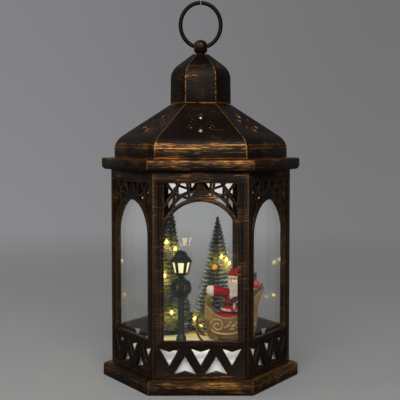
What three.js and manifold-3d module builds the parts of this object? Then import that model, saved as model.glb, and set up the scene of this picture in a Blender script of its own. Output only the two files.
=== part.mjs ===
// Christmas lantern: a six-sided housing with arched windows, a lit snow scene and a carrying ring.
// Millimetres, +Z up. The origin is the centre of the base's underside, and the front faces -Y.
import * as THREE from 'three';
import { mergeVertices } from 'three/addons/utils/BufferGeometryUtils.js';
import Module from 'manifold-3d';

const wasm = await Module();
wasm.setup();

// Clearances
const seatGap = 0.3;
const panelGap = 0.3;
const cutOver = 1;
const joinOver = 0.2;

// Housing, with radii measured to the corners of the six-sided plan
const sides = 6;
const plinthCorner = 78.5;
const plinthHeight = 10.1;
const plinthWall = 3;
const plinthPlate = 3;
const plinthEdge = 1.2;
const bodyCorner = 71.5;
const panelHeight = 155.5;
const panelThickness = 3.8;
const reliefDepth = 0.9;
const corniceCorner = 79;
const corniceHeight = 9.1;
const corniceRound = 3.2;
const lipHeight = 3.8;
const lipThickness = 2;

// Windows, lower band and upper lattice of each wall panel
const windowHalfWidth = 27.45;
const bandHeight = 29.4;
const windowStraight = 76.9;
const archBand = 3.1;
const topRail = 7.9;
const sillRail = 6;
const footRail = 3.5;
const cornerStrip = 3.4;
const footBead = 1.8;
const sillBead = 3;
const archBead = 2.4;
const bandPitch = 11.75;
const downHalfWidth = 7.2;
const downDepth = 12.9;
const downDip = 2.3;
const upHalfWidth = 8.75;
const upHeight = 14;
const upDip = 3;
const latticeBar = 2.1;
const paneThickness = 1.2;
const paneLap = 2.2;

// Roof, cupola, ball and ring
const roofCorner = 68.7;
const roofWall = 2.2;
const roofHeight = 41.8;
const roofSlope = 0.745;
const eaveRound = 13;
const roofRingWidth = 4;
const flowerDistance = 25;
const petalInner = 5;
const petalOuter = 12.4;
const petalHalfWidth = 2;
const cupolaCorner = 24.1;
const cupolaHeight = 39.4;
const cupolaWall = 2.2;
const cupolaSlope = 0.8366;
const cupolaTip = 6.4;
const cupolaRound = 14;
const cupolaCrown = 3.2;
const ballRadius = 6;
const ballSink = 0.6;
const studRadius = 2;
const studLength = 9;
const nutRadius = 4;
const nutHeight = 3;
const ringHalfWidth = 15.9;
const ringHalfHeight = 17.5;
const ringWire = 3.2;
const ringSplit = 0.6;
const ringPlay = 0.3;

// Battery box in the base, for three AA cells side by side
const cellRadius = 7.25;
const cellLength = 49.2;
const cellTip = 1.3;
const cellTipRadius = 2.75;
const cellCount = 3;
const cellPlay = 0.4;
const contactDepth = 3.4;
const contactPlate = 0.6;
const boxWall = 1.6;
const boxFlange = 2;
const boxFlangeWidth = 4;
const switchRoom = 12;
const doorThickness = 1.8;
const doorLap = 1.2;
const doorTravel = 10;
const doorTab = 8;
const doorTabReach = 1.6;
const doorCatch = 1.1;
const screwRadius = 1.4;
const screwHead = 2.8;
const switchTravel = 4;
const knobLength = 4;
const knobWidth = 2.6;
const knobReach = 2.2;
const switchHeight = 4.4;
const switchHalfWidth = 3.2;
const switchHalfLength = 5;
const boardThickness = 1.2;
const boardHalfLength = 14;
const chipHalf = 2.5;
const chipHeight = 1.4;

// Snow ground
const snowRim = 24;
const snowRise = 8;
const snowRipple = 0.5;
const pocketDepth = 1.2;
const pocketRoom = 2;

// Street lamp
const lampX = -15;
const lampY = -36;
const lampPoleRadius = 2.2;
const lampPoleHeight = 58.6;
const lampFootRadius = 5.4;
const lampFootHeight = 11;
const lampGlassHeight = 9.6;
const lampGlassTop = 6;
const lampGlassFoot = 4;
const lampCapRadius = 8.2;
const lampCapHeight = 6.4;
const wreathRadius = 4.9;
const wreathThickness = 2.3;
const wreathDrop = 10.5;
const bowWidth = 8;

// Bottle-brush trees and the light strings wound round them
const leftTree = { x: -24, y: 14, height: 107, radius: 15.5, rings: 19, spin: 0.4 };
const rightTree = { x: 14, y: 22, height: 96, radius: 19.5, rings: 19, spin: 0.9 };
const treeCore = 1.7;
const treeFoot = 7;
const treeFootHeight = 3;
const treeBare = 5;
const treeTip = 4;
const strandsPerRing = 8;
const strandRadius = 0.5;
const strandRise = 0.16;
const wireRadius = 0.4;
const wireClear = 0.6;
const beadRadius = 1.5;
const leftString = {
  pitch: 26.3, top: 12, bottom: 8, phase: 1.36, beads: [0.02, 0.12, 0.216, 0.262, 0.38, 0.52, 0.7, 0.9],
};
const rightString = {
  pitch: 29.8, top: 14, bottom: 4, phase: 2.89, beads: [0, 0.13, 0.26, 0.4, 0.55, 0.7, 0.85, 0.98],
};
const loopSteps = 16;
const wireSides = 5;

// Sleigh with its rider and load
const sleighX = 24;
const sleighY = -15;
const sleighWidth = 22;
const sleighWall = 1.8;
const sleighFloor = 7;
const sleighBottom = 5;
const sleighNose = -19.5;
const sleighNoseTop = 32;
const sleighDip = 21.5;
const sleighSide = 26;
const sleighTail = 25;
const sleighTailTop = 45.5;
const runnerRadius = 1.1;
const runnerFront = 27;
const runnerBack = 22;
const runnerRise = 13.4;
const scrollRadius = 5.2;
const seatHeight = 16;
const riderX = 2.4;
const riderHem = 25.4;
const legSpread = 4.2;
const kneeX = -8.5;
const riderShoulder = 43;
const riderBroad = 1.2;
const riderDeep = 0.92;
const headX = 4.2;
const headRadius = 5.2;
const headHeight = 49.8;
const hatRadius = 7.4;
const hatRise = 7.4;
const bandHeightOfHat = 2.6;
const sleeveRadius = 4;
const cuffRadius = 4.9;
const mittenRadius = 2.7;
const sackX = 14.6;
const sackTop = 44.5;
const sackRadius = 4.5;
const sackMouth = 4.1;
const sackNarrow = 0.6;
const sackWide = 1.9;
const giftBox = 6.6;
const giftBoxX = 16.4;
const giftBoxY = 3.5;
const giftBoxHeight = 11.5;
const giftBallRadius = 3.1;
const giftBallLean = 0.95;
const giftBallY = -4.5;
const garlandRadius = 2.7;
const baubleRadius = 2.4;
const baubleRing = 11;
const baubleStrand = 4;
const baubleAlong = 0.9;
const baubleCap = 0.9;

const finishes = {
  bronze: { color: 0x2e231a, roughness: 0.45, metalness: 0.55 },
  glass: { color: 0xdfe6e6, roughness: 0.06, metalness: 0, transparent: true, opacity: 0.3 },
  ring: { color: 0x2b221b, roughness: 0.4, metalness: 0.8 },
  steel: { color: 0xb8b8b6, roughness: 0.3, metalness: 1 },
  blackPlastic: { color: 0x181818, roughness: 0.55, metalness: 0 },
  cell: { color: 0x3a3f47, roughness: 0.35, metalness: 0.4 },
  board: { color: 0x1f6b3a, roughness: 0.5, metalness: 0.1 },
  snow: { color: 0xf3f4f5, roughness: 0.85, metalness: 0 },
  lampIron: { color: 0x26262a, roughness: 0.5, metalness: 0.3 },
  lampGlass: { color: 0xfff0c8, roughness: 0.3, metalness: 0, emissive: 0xffe2a0 },
  wreath: { color: 0x1f3d2a, roughness: 0.8, metalness: 0 },
  bow: { color: 0x5a1a18, roughness: 0.6, metalness: 0 },
  needles: { color: 0x3f4a3a, roughness: 0.9, metalness: 0 },
  wire: { color: 0xc9b27a, roughness: 0.35, metalness: 0.6 },
  gold: { color: 0xb98a3e, roughness: 0.35, metalness: 0.7 },
  red: { color: 0xb01522, roughness: 0.6, metalness: 0 },
  white: { color: 0xf4f1ec, roughness: 0.85, metalness: 0 },
  skin: { color: 0xe3b08c, roughness: 0.6, metalness: 0 },
  black: { color: 0x17161a, roughness: 0.5, metalness: 0 },
  sack: { color: 0x6b3f22, roughness: 0.85, metalness: 0 },
  teal: { color: 0x2f4e50, roughness: 0.5, metalness: 0 },
};

// Heights and plan sizes that follow from the driving sizes
const flat = Math.cos(Math.PI / sides);
const bodyFace = bodyCorner * flat;
const fieldFace = bodyFace - reliefDepth;
const innerFace = bodyFace - panelThickness;
const lipFace = innerFace - seatGap;
const panelBottom = plinthHeight + seatGap;
const panelTop = panelBottom + panelHeight;
const sill = panelBottom + bandHeight;
const spring = sill + windowStraight;
const latticeTop = panelTop - topRail;
const corniceBottom = panelTop + seatGap;
const corniceTop = corniceBottom + corniceHeight;
const roofBottom = corniceTop + seatGap;
const roofTop = roofBottom + roofHeight;
const roofFace = roofCorner * flat;
const cupolaFace = cupolaCorner * flat;
const eaveHeight = roofTop - (roofFace - cupolaFace) * roofSlope;
const cupolaBottom = roofTop + seatGap;
const cupolaTop = cupolaBottom + cupolaHeight;
const ballHeight = cupolaTop + ballRadius - ballSink;
const snowBottom = plinthHeight + seatGap;
const snowFace = lipFace - lipThickness - seatGap;

const lantern = new THREE.Group();

function addPart(name, geometry, finish, parent = lantern) {
  const mesh = new THREE.Mesh(geometry, new THREE.MeshStandardMaterial(finishes[finish]));
  mesh.name = name;
  parent.add(mesh);
  return mesh;
}

// Solids: closed geometry goes in, is joined or cut, and comes back as geometry
function signedVolume(position, index) {
  const a = new THREE.Vector3();
  const b = new THREE.Vector3();
  const c = new THREE.Vector3();
  let volume = 0;
  for (let i = 0; i < index.count; i += 3) {
    a.fromBufferAttribute(position, index.getX(i));
    b.fromBufferAttribute(position, index.getX(i + 1));
    c.fromBufferAttribute(position, index.getX(i + 2));
    volume += a.dot(b.cross(c));
  }
  return volume;
}

function facingOut(geometry) {
  const plain = geometry.clone();
  plain.deleteAttribute('normal');
  plain.deleteAttribute('uv');
  const merged = mergeVertices(plain);
  const corners = Array.from(merged.index.array);
  const kept = [];
  const inward = signedVolume(merged.attributes.position, merged.index) < 0;
  for (let i = 0; i < corners.length; i += 3) {
    const [a, b, c] = corners.slice(i, i + 3);
    if (a !== b && b !== c && c !== a) {
      kept.push(...(inward ? [a, c, b] : [a, b, c]));
    }
  }
  merged.setIndex(kept);
  return merged;
}

function solid(geometry) {
  const closed = facingOut(geometry);
  return new wasm.Manifold(new wasm.Mesh({
    numProp: 3,
    vertProperties: new Float32Array(closed.attributes.position.array),
    triVerts: new Uint32Array(closed.index.array),
  }));
}

function geometryOf(body) {
  const mesh = body.getMesh();
  const geometry = new THREE.BufferGeometry();
  geometry.setAttribute('position', new THREE.BufferAttribute(mesh.vertProperties, 3));
  geometry.setIndex(new THREE.BufferAttribute(mesh.triVerts, 1));
  geometry.computeVertexNormals();
  return geometry;
}

function joined(geometries) {
  return geometries.map(solid).reduce((whole, piece) => whole.add(piece));
}

function cutBy(body, geometries) {
  return geometries.map(solid).reduce((rest, cutter) => rest.subtract(cutter), body);
}

// Forms
function polygon(points) {
  return new THREE.Shape(points.map(([x, y]) => new THREE.Vector2(x, y)));
}

function rectangle(left, bottom, right, top) {
  return polygon([[left, bottom], [right, bottom], [right, top], [left, top]]);
}

function ngon(radius, count) {
  const points = [];
  for (let i = 0; i < count; i += 1) {
    const angle = (2 * Math.PI * i) / count;
    points.push([radius * Math.cos(angle), radius * Math.sin(angle)]);
  }
  return polygon(points);
}

function upright(shape, low, high, curveSegments = 12) {
  const options = { depth: high - low, bevelEnabled: false, curveSegments };
  return new THREE.ExtrudeGeometry(shape, options).translate(0, 0, low);
}

// A shape drawn with x across and y up, given a thickness from front to back
function standing(shape, front, back, curveSegments = 8) {
  const options = { depth: back - front, bevelEnabled: false, curveSegments };
  return new THREE.ExtrudeGeometry(shape, options).rotateX(Math.PI / 2).translate(0, back, 0);
}

function box(x0, x1, y0, y1, z0, z1) {
  const size = [x1 - x0, y1 - y0, z1 - z0];
  return new THREE.BoxGeometry(...size).translate((x0 + x1) / 2, (y0 + y1) / 2, (z0 + z1) / 2);
}

function rod(radius, low, high, x = 0, y = 0, count = 16) {
  const cylinder = new THREE.CylinderGeometry(radius, radius, high - low, count);
  return cylinder.rotateX(Math.PI / 2).translate(x, y, (low + high) / 2);
}

function ball(radius, x, y, z, across = 12, up = 8) {
  return new THREE.SphereGeometry(radius, across, up).rotateX(Math.PI / 2).translate(x, y, z);
}

function revolved(profile, count = 16) {
  const points = profile.map(([r, z]) => new THREE.Vector2(r, z));
  return new THREE.LatheGeometry(points, count).rotateX(Math.PI / 2);
}

// A six-sided turning whose profile is given at the middle of a face
function hexagonal(profile) {
  const points = profile.map(([face, z]) => new THREE.Vector2(face / flat, z));
  return new THREE.LatheGeometry(points, sides, Math.PI / 2).rotateX(Math.PI / 2);
}

function swept(curve, radius, steps, count) {
  const options = { steps, bevelEnabled: false, extrudePath: curve };
  return new THREE.ExtrudeGeometry(ngon(radius, count), options);
}

class Route extends THREE.Curve {
  constructor(place) {
    super();
    this.place = place;
  }

  getPoint(t, target = new THREE.Vector3()) {
    return target.set(...this.place(t));
  }

  getPointAt(t, target) {
    return this.getPoint(t, target);
  }

  getTangentAt(t, target) {
    return this.getTangent(t, target);
  }
}

// Rounds the corners of a profile: a corner with a third number gets an arc of that radius
function rounded(corners, steps = 5) {
  const path = [];
  corners.forEach(([x, y, radius = 0], i) => {
    if (radius === 0) {
      path.push([x, y]);
      return;
    }
    const corner = new THREE.Vector2(x, y);
    const before = new THREE.Vector2(...corners[i - 1].slice(0, 2)).sub(corner).normalize();
    const after = new THREE.Vector2(...corners[i + 1].slice(0, 2)).sub(corner).normalize();
    const half = Math.acos(THREE.MathUtils.clamp(before.dot(after), -1, 1)) / 2;
    const reach = radius / Math.tan(half);
    const centre = before.clone().add(after).normalize().multiplyScalar(radius / Math.sin(half)).add(corner);
    const start = before.multiplyScalar(reach).add(corner).sub(centre);
    const end = after.multiplyScalar(reach).add(corner).sub(centre);
    const turn = Math.atan2(start.cross(end), start.dot(end));
    for (let k = 0; k <= steps; k += 1) {
      const angle = (turn * k) / steps;
      const spoke = start.clone().rotateAround(new THREE.Vector2(), angle).add(centre);
      path.push([spoke.x, spoke.y]);
    }
  });
  return path;
}

// Moves each point of a profile to its left by the wall's thickness
function offset(path, wall) {
  return path.map(([x, y], i) => {
    const [x0, y0] = path[Math.max(i - 1, 0)];
    const [x1, y1] = path[Math.min(i + 1, path.length - 1)];
    const length = Math.hypot(x1 - x0, y1 - y0);
    return [x - ((y1 - y0) / length) * wall, y + ((x1 - x0) / length) * wall];
  });
}

// Base
const cellRow = cellCount * (2 * cellRadius + cellPlay) + cellPlay;
const cellBay = cellLength + cellTip + 2 * contactDepth;
const boxHalfLength = cellBay / 2 + boxWall;
const boxHalfWidth = cellRow / 2 + boxWall;
const plateBottom = plinthHeight - plinthPlate;
const flangeTop = plateBottom - seatGap;
const flangeBottom = flangeTop - boxFlange;
const doorTop = flangeBottom - seatGap;
const doorBottom = doorTop - doorThickness;
const doorHalfLength = cellBay / 2 + doorLap;
const doorHalfWidth = cellRow / 2 + doorLap;
const doorTabs = [-cellBay / 4, cellBay / 4];
const boxTop = doorTop + seatGap + 2 * cellRadius + 2 * cellPlay + boxWall;
const cellHeight = doorTop + seatGap + cellPlay + cellRadius;
const holeLeft = -boxHalfLength - switchRoom;
const holeRight = boxHalfLength + seatGap;
const holeHalfWidth = boxHalfWidth + seatGap;
const switchX = -boxHalfLength - switchRoom / 2;
const flangeLeft = holeLeft - 2 * screwHead;
const flangeRight = doorHalfLength + doorTravel + 2 * screwHead + 2 * seatGap;
const screwSpots = [
  [flangeLeft + screwHead, -holeHalfWidth / 2],
  [flangeRight - screwHead, holeHalfWidth / 2],
];

function screwHoles(top) {
  return screwSpots.map(([x, y]) => rod(screwRadius + seatGap, -cutOver, top, x, y, 12));
}

function plinth() {
  const face = plinthCorner * flat;
  const profile = [
    [0, plateBottom],
    [face - plinthWall, plateBottom],
    [face - plinthWall, 0],
    [face, 0],
    [face, plinthHeight - plinthEdge],
    [face - plinthEdge, plinthHeight],
    [lipFace, plinthHeight],
    [lipFace, plinthHeight + lipHeight],
    [lipFace - lipThickness, plinthHeight + lipHeight],
    [lipFace - lipThickness, plinthHeight],
    [0, plinthHeight],
  ];
  const hole = box(holeLeft, holeRight, -holeHalfWidth, holeHalfWidth, -cutOver, plinthHeight + cutOver);
  const threads = screwHoles(plinthHeight + cutOver);
  return geometryOf(cutBy(solid(hexagonal(profile)), [hole, ...threads]));
}

function batteryBox() {
  const flangeY = holeHalfWidth + boxFlangeWidth;
  const flange = box(flangeLeft, flangeRight, -flangeY, flangeY, flangeBottom, flangeTop);
  const tub = box(-boxHalfLength, boxHalfLength, -boxHalfWidth, boxHalfWidth, flangeBottom, boxTop);
  const bay = box(-cellBay / 2, cellBay / 2, -cellRow / 2, cellRow / 2, -cutOver, boxTop - boxWall);
  const slide = knobSlot(-cutOver, flangeTop + cutOver);
  const holes = screwHoles(flangeTop + cutOver);
  const shell = cutBy(joined([flange, tub]), [bay, slide, ...holes]);
  return geometryOf(doorCatches().map(solid).reduce((whole, piece) => whole.add(piece), shell));
}

// Hooked catches that hang from the flange and carry the door's four tabs from below
function doorCatches() {
  const pieces = [];
  const tabEnd = doorHalfWidth + doorTabReach;
  const low = doorBottom - seatGap - doorCatch;
  for (const x of doorTabs) {
    for (const side of [-1, 1]) {
      const inside = side * (doorHalfWidth + seatGap);
      const hook = side * (tabEnd + seatGap);
      const outside = side * (tabEnd + seatGap + boxWall);
      const [y0, y1] = [Math.min(inside, outside), Math.max(inside, outside)];
      pieces.push(box(x, x + doorTab, y0, y1, low, low + doorCatch));
      const [h0, h1] = [Math.min(hook, outside), Math.max(hook, outside)];
      pieces.push(box(x, x + doorTab, h0, h1, low, flangeBottom + joinOver));
    }
  }
  return pieces;
}

function batteryDoor() {
  const plate = box(-doorHalfLength, doorHalfLength, -doorHalfWidth, doorHalfWidth, doorBottom, doorTop);
  const tabEnd = doorHalfWidth + doorTabReach;
  const tabs = doorTabs.map((x) => box(x, x + doorTab - seatGap, -tabEnd, tabEnd, doorBottom, doorTop));
  const grips = [0, 1, 2].map((i) => {
    const x = doorHalfLength - 4 - 2.5 * i;
    return box(x - 1, x, -doorHalfWidth / 2, doorHalfWidth / 2, doorBottom - 0.6, doorBottom + joinOver);
  });
  return geometryOf(joined([plate, ...tabs, ...grips]));
}

function batteryCell() {
  const half = cellLength / 2;
  const profile = rounded([
    [0, -half], [cellRadius, -half, 0.6], [cellRadius, half, 0.9],
    [cellTipRadius, half], [cellTipRadius, half + cellTip], [0, half + cellTip],
  ], 2);
  return revolved(profile, 10);
}

function cellRowAt(i) {
  return (i - (cellCount - 1) / 2) * (2 * cellRadius + cellPlay);
}

function addBatteryCells() {
  for (let i = 0; i < cellCount; i += 1) {
    const cell = addPart(`battery_cell_${i + 1}`, batteryCell(), 'cell');
    const turn = i % 2 === 0 ? 1 : -1;
    cell.rotation.y = (turn * Math.PI) / 2;
    cell.position.set((-turn * cellTip) / 2, cellRowAt(i), cellHeight);
  }
}

// A contact strip with one stud or coned spring for each cell
function contactStrip(end) {
  const wall = end * (cellBay / 2 - seatGap);
  const face = wall - end * contactPlate;
  const pieces = [box(
    Math.min(wall, face), Math.max(wall, face),
    -cellRow / 2 + seatGap, cellRow / 2 - seatGap, cellHeight - 5, cellHeight + 5,
  )];
  for (let i = 0; i < cellCount; i += 1) {
    const y = cellRowAt(i);
    const length = contactDepth - seatGap - contactPlate - seatGap;
    const cone = new THREE.CylinderGeometry(2, 3.4, length + joinOver, 6);
    cone.rotateZ((end * Math.PI) / 2).translate(face - end * (length / 2 - joinOver / 2), y, cellHeight);
    pieces.push(cone);
  }
  return geometryOf(joined(pieces));
}

function screw(x, y) {
  const head = flangeBottom - seatGap;
  const profile = [
    [0, head - 1.6], [screwHead / 2, head - 1.6], [screwHead, head - 0.8], [screwHead, head],
    [screwRadius, head], [screwRadius, plinthHeight - seatGap], [0, plinthHeight - seatGap],
  ];
  return revolved(profile, 8).translate(x, y, 0);
}

const switchTop = flangeTop + seatGap + switchHeight;
const knobTop = flangeTop + knobReach;

// The slot in which the knob slides from one end of its travel to the other
function knobSlot(low, high) {
  const reach = (knobLength + switchTravel) / 2 + seatGap;
  const wide = knobWidth / 2 + seatGap;
  return box(switchX - reach, switchX + reach, -wide, wide, low, high);
}

function switchBody() {
  const body = box(
    switchX - switchHalfLength, switchX + switchHalfLength,
    -switchHalfWidth, switchHalfWidth, flangeTop + seatGap, switchTop,
  );
  const room = knobSlot(flangeTop - cutOver, knobTop + seatGap);
  return geometryOf(cutBy(solid(body), [room]));
}

function switchKnob() {
  const half = knobLength / 2;
  return box(switchX - half, switchX + half, -knobWidth / 2, knobWidth / 2, doorBottom, knobTop);
}

function timerBoard() {
  const low = switchTop + seatGap;
  const top = low + boardThickness;
  const half = switchHalfLength + 0.4;
  const board = box(switchX - half, switchX + half, -boardHalfLength, boardHalfLength, low, top);
  const chip = box(
    switchX - chipHalf, switchX + chipHalf, chipHalf, 3 * chipHalf, top - joinOver, top + chipHeight,
  );
  return geometryOf(joined([board, chip]));
}

// Walls
function archShape(halfWidth, bottom) {
  const shape = new THREE.Shape();
  shape.moveTo(-halfWidth, bottom);
  shape.lineTo(halfWidth, bottom);
  shape.lineTo(halfWidth, spring);
  shape.absarc(0, spring, halfWidth, 0, Math.PI);
  return shape;
}

function downTriangle(centre) {
  const top = sill - sillRail;
  const shape = new THREE.Shape();
  shape.moveTo(centre - downHalfWidth, top);
  shape.lineTo(centre, top - downDepth);
  shape.lineTo(centre + downHalfWidth, top);
  shape.quadraticCurveTo(centre, top - 2 * downDip, centre - downHalfWidth, top);
  return shape;
}

function upTriangle(centre) {
  const base = panelBottom + footRail;
  const shape = new THREE.Shape();
  shape.moveTo(centre - upHalfWidth, base);
  shape.quadraticCurveTo(centre, base + 2 * upDip, centre + upHalfWidth, base);
  shape.lineTo(centre, base + upHeight);
  shape.lineTo(centre - upHalfWidth, base);
  return shape;
}

function bar([x0, y0], [x1, y1], width = latticeBar) {
  const length = Math.hypot(x1 - x0, y1 - y0);
  const ax = ((x1 - x0) / length) * (width / 2);
  const ay = ((y1 - y0) / length) * (width / 2);
  return polygon([
    [x0 - ax + ay, y0 - ay - ax], [x1 + ax + ay, y1 + ay - ax],
    [x1 + ax - ay, y1 + ay + ax], [x0 - ax - ay, y0 - ay + ax],
  ]);
}

function archHeight(x) {
  return spring + Math.sqrt((windowHalfWidth + archBand) ** 2 - x * x);
}

// The open parts of the lattice between the arch and the top rail
function latticeGaps(front, back) {
  const crossing = [windowHalfWidth * 0.72, latticeTop - 8];
  const foot = [windowHalfWidth * 0.3, archHeight(windowHalfWidth * 0.3)];
  const post = windowHalfWidth;
  const bars = [];
  for (const side of [-1, 1]) {
    const at = ([x, y]) => [side * x, y];
    const ends = [
      [crossing, [post * 0.565, latticeTop]],
      [crossing, [post * 0.925, latticeTop]],
      [crossing, [post, latticeTop - 17.5]],
      [crossing, [crossing[0], archHeight(crossing[0])]],
      [crossing, foot],
      [foot, [post * 0.365, latticeTop]],
    ];
    ends.forEach(([from, to]) => bars.push(bar(at(from), at(to))));
  }
  bars.push(polygon([[0, latticeTop + cutOver], [-foot[0] - 1, foot[1] - 1], [foot[0] + 1, foot[1] - 1]]));
  const field = standing(rectangle(-post, spring, post, latticeTop), front, back);
  const arch = standing(archShape(windowHalfWidth + archBand, sill), front - cutOver, back + cutOver);
  const web = bars.map((shape) => standing(shape, front - cutOver, back + cutOver));
  return cutBy(solid(field), [arch, ...web]);
}

function wallPanel() {
  const plate = standing(rectangle(-bodyFace, panelBottom, bodyFace, panelTop), -fieldFace, -innerFace);
  const edge = bodyCorner / 2;
  const frame = rectangle(-edge, panelBottom, edge, panelTop);
  const inset = edge - cornerStrip;
  frame.holes.push(rectangle(-inset, sill, inset, latticeTop));
  frame.holes.push(rectangle(-inset, panelBottom + footBead, inset, sill - sillBead));
  const raised = [
    standing(frame, -bodyFace, -fieldFace + joinOver),
    standing(archShape(windowHalfWidth + archBead, sill), -bodyFace, -fieldFace + joinOver),
  ];
  const deep = -panelGap - bodyCorner / Math.tan(Math.PI / sides);
  const mitre = polygon([[0, -panelGap], [bodyCorner, deep], [-bodyCorner, deep]]);
  const blank = joined([plate, ...raised]).intersect(solid(upright(mitre, 0, corniceTop)));
  const front = -bodyFace - cutOver;
  const back = -innerFace + cutOver;
  const openings = [archShape(windowHalfWidth, sill)];
  for (const k of [-1, 0, 1]) {
    openings.push(downTriangle(2 * k * bandPitch));
  }
  for (const k of [-1, 1]) {
    openings.push(upTriangle(k * bandPitch));
  }
  const cut = cutBy(blank, openings.map((shape, i) => standing(shape, front, back, i === 0 ? 8 : 2)));
  return geometryOf(cut.subtract(latticeGaps(front, back)));
}

function windowPane() {
  const shape = archShape(windowHalfWidth + paneLap, sill - paneLap);
  return standing(shape, -innerFace + seatGap, -innerFace + seatGap + paneThickness);
}

function addWalls() {
  const places = ['front', 'front_right', 'back_right', 'back', 'back_left', 'front_left'];
  const panel = wallPanel();
  const pane = windowPane();
  places.forEach((place, i) => {
    const wall = new THREE.Group();
    wall.rotation.z = (i * 2 * Math.PI) / sides;
    lantern.add(wall);
    addPart(`panel_${place}`, panel, 'bronze', wall);
    addPart(`pane_${place}`, pane, 'glass', wall);
  });
}

// Cornice, roof and cupola
function cornice() {
  const face = corniceCorner * flat;
  const lip = lipFace - lipThickness;
  const ledge = roofFace - roofWall - seatGap;
  const inner = Math.min(lip, ledge - lipThickness);
  return hexagonal(rounded([
    [lipFace, corniceBottom],
    [face, corniceBottom, corniceRound],
    [face, corniceTop - 0.8],
    [face - 0.8, corniceTop],
    [ledge, corniceTop],
    [ledge, corniceTop + lipHeight],
    [inner, corniceTop + lipHeight],
    [inner, corniceBottom - lipHeight],
    [lipFace, corniceBottom - lipHeight],
    [lipFace, corniceBottom],
  ], 4));
}

function petal(turn) {
  const middle = (petalInner + petalOuter) / 2;
  const shape = new THREE.Shape();
  shape.moveTo(petalInner, 0);
  shape.quadraticCurveTo(middle, 2 * petalHalfWidth, petalOuter, 0);
  shape.quadraticCurveTo(middle, -2 * petalHalfWidth, petalInner, 0);
  const depth = 6 * roofWall;
  const options = { depth, bevelEnabled: false, curveSegments: 3 };
  return new THREE.ExtrudeGeometry(shape, options).translate(0, 0, -depth / 2).rotateZ(turn);
}

function roof() {
  const top = [cupolaFace, roofTop];
  const outer = rounded([[roofFace, roofBottom], [roofFace, eaveHeight, eaveRound], top]);
  const inner = offset(outer, roofWall);
  inner[0][1] = roofBottom;
  const opening = cupolaFace - roofRingWidth;
  const under = inner.filter(([face]) => face > opening + roofWall);
  const profile = [
    ...outer,
    [opening, roofTop],
    [opening, roofTop - roofWall * 1.4],
    ...under.reverse(),
    outer[0],
  ];
  const tilt = Math.atan(roofSlope);
  const face = cupolaFace + flowerDistance * Math.cos(tilt);
  const height = roofTop - flowerDistance * Math.sin(tilt);
  const petals = [];
  for (let side = 0; side < sides; side += 1) {
    for (let k = 0; k < 6; k += 1) {
      const cutter = petal(Math.PI / 2 + (k * Math.PI) / 3);
      cutter.rotateX(tilt).translate(0, -face, height).rotateZ((side * 2 * Math.PI) / sides);
      petals.push(cutter);
    }
  }
  return geometryOf(cutBy(solid(hexagonal(profile)), petals));
}

function cupola() {
  const shoulder = cupolaTop - (cupolaFace - cupolaTip * flat) * cupolaSlope;
  const outer = rounded([
    [cupolaFace, cupolaBottom], [cupolaFace - 0.3, shoulder, cupolaRound], [cupolaTip * flat, cupolaTop],
  ], 5);
  const inner = offset(outer, cupolaWall).filter(([, z]) => z < cupolaTop - cupolaCrown);
  inner[0][1] = cupolaBottom;
  const roomTop = cupolaTop - cupolaCrown;
  const [lastFace, lastHeight] = inner[inner.length - 1];
  const roomFace = lastFace - (roomTop - lastHeight) / cupolaSlope;
  const collar = cupolaFace - roofRingWidth - seatGap;
  const profile = [
    ...outer, [0, cupolaTop], [0, roomTop], [roomFace, roomTop], ...inner.slice(1).reverse(),
    [inner[0][0], cupolaBottom + 3], [collar - 2, cupolaBottom + 3], [collar - 2, cupolaBottom - 2.5],
    [collar, cupolaBottom - 2.5], [collar, cupolaBottom], outer[0],
  ];
  const top = profile.findIndex(([face]) => face === 0);
  const closed = [...profile.slice(top + 1), ...profile.slice(1, top + 1)];
  const dish = ball(ballRadius + seatGap, 0, 0, ballHeight, 14, 10);
  const hole = rod(studRadius + seatGap, cupolaTop - 3 * cupolaCrown, cupolaTop + cutOver);
  return geometryOf(cutBy(solid(hexagonal(closed)), [dish, hole]));
}

// The ring's wire curves as it passes the ball, so the bore opens out towards both mouths
function ringRise(x) {
  return ringHalfHeight * (1 - Math.sqrt(1 - (x / ringHalfWidth) ** 2));
}

function finialBall() {
  const stud = rod(studRadius, cupolaTop - cupolaCrown - studLength, ballHeight - ballRadius + 1.5);
  const bore = [[0, -ballRadius - cutOver]];
  const steps = 2;
  for (let i = -steps; i <= steps; i += 1) {
    const x = ((ballRadius + cutOver) * i) / steps;
    bore.push([ringWire / 2 + ringPlay + ringRise(x), x]);
  }
  bore.push([0, ballRadius + cutOver]);
  const cutter = revolved(bore, 10).rotateY(Math.PI / 2).translate(0, 0, ballHeight);
  return geometryOf(cutBy(joined([ball(ballRadius, 0, 0, ballHeight, 12, 10), stud]), [cutter]));
}

function finialNut() {
  const top = cupolaTop - cupolaCrown - seatGap;
  const nut = rod(nutRadius, top - nutHeight, top, 0, 0, 6);
  return geometryOf(cutBy(solid(nut), [rod(studRadius + seatGap, top - 2 * nutHeight, top + cutOver)]));
}

function carryingRing() {
  const start = ringSplit / 2 / ringHalfWidth;
  const route = new Route((t) => {
    const angle = start + t * 2 * (Math.PI - start);
    const x = ringHalfWidth * Math.sin(angle);
    return [x, 0, ballHeight + ringHalfHeight * (1 + Math.cos(angle))];
  });
  return swept(route, ringWire / 2, 34, 8);
}

// Snow
function nearRim(x, y) {
  let nearest = 0;
  for (let i = 0; i < sides; i += 1) {
    const angle = Math.PI / 2 + (i * 2 * Math.PI) / sides;
    nearest = Math.max(nearest, (x * Math.cos(angle) + y * Math.sin(angle)) / snowFace);
  }
  return nearest;
}

function groundHeight(x, y) {
  const inside = 1 - Math.min(nearRim(x, y), 1) ** 2;
  return snowRim + inside * (snowRise + snowRipple * Math.sin(x / 6 + 1) * Math.cos(y / 7));
}

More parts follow.
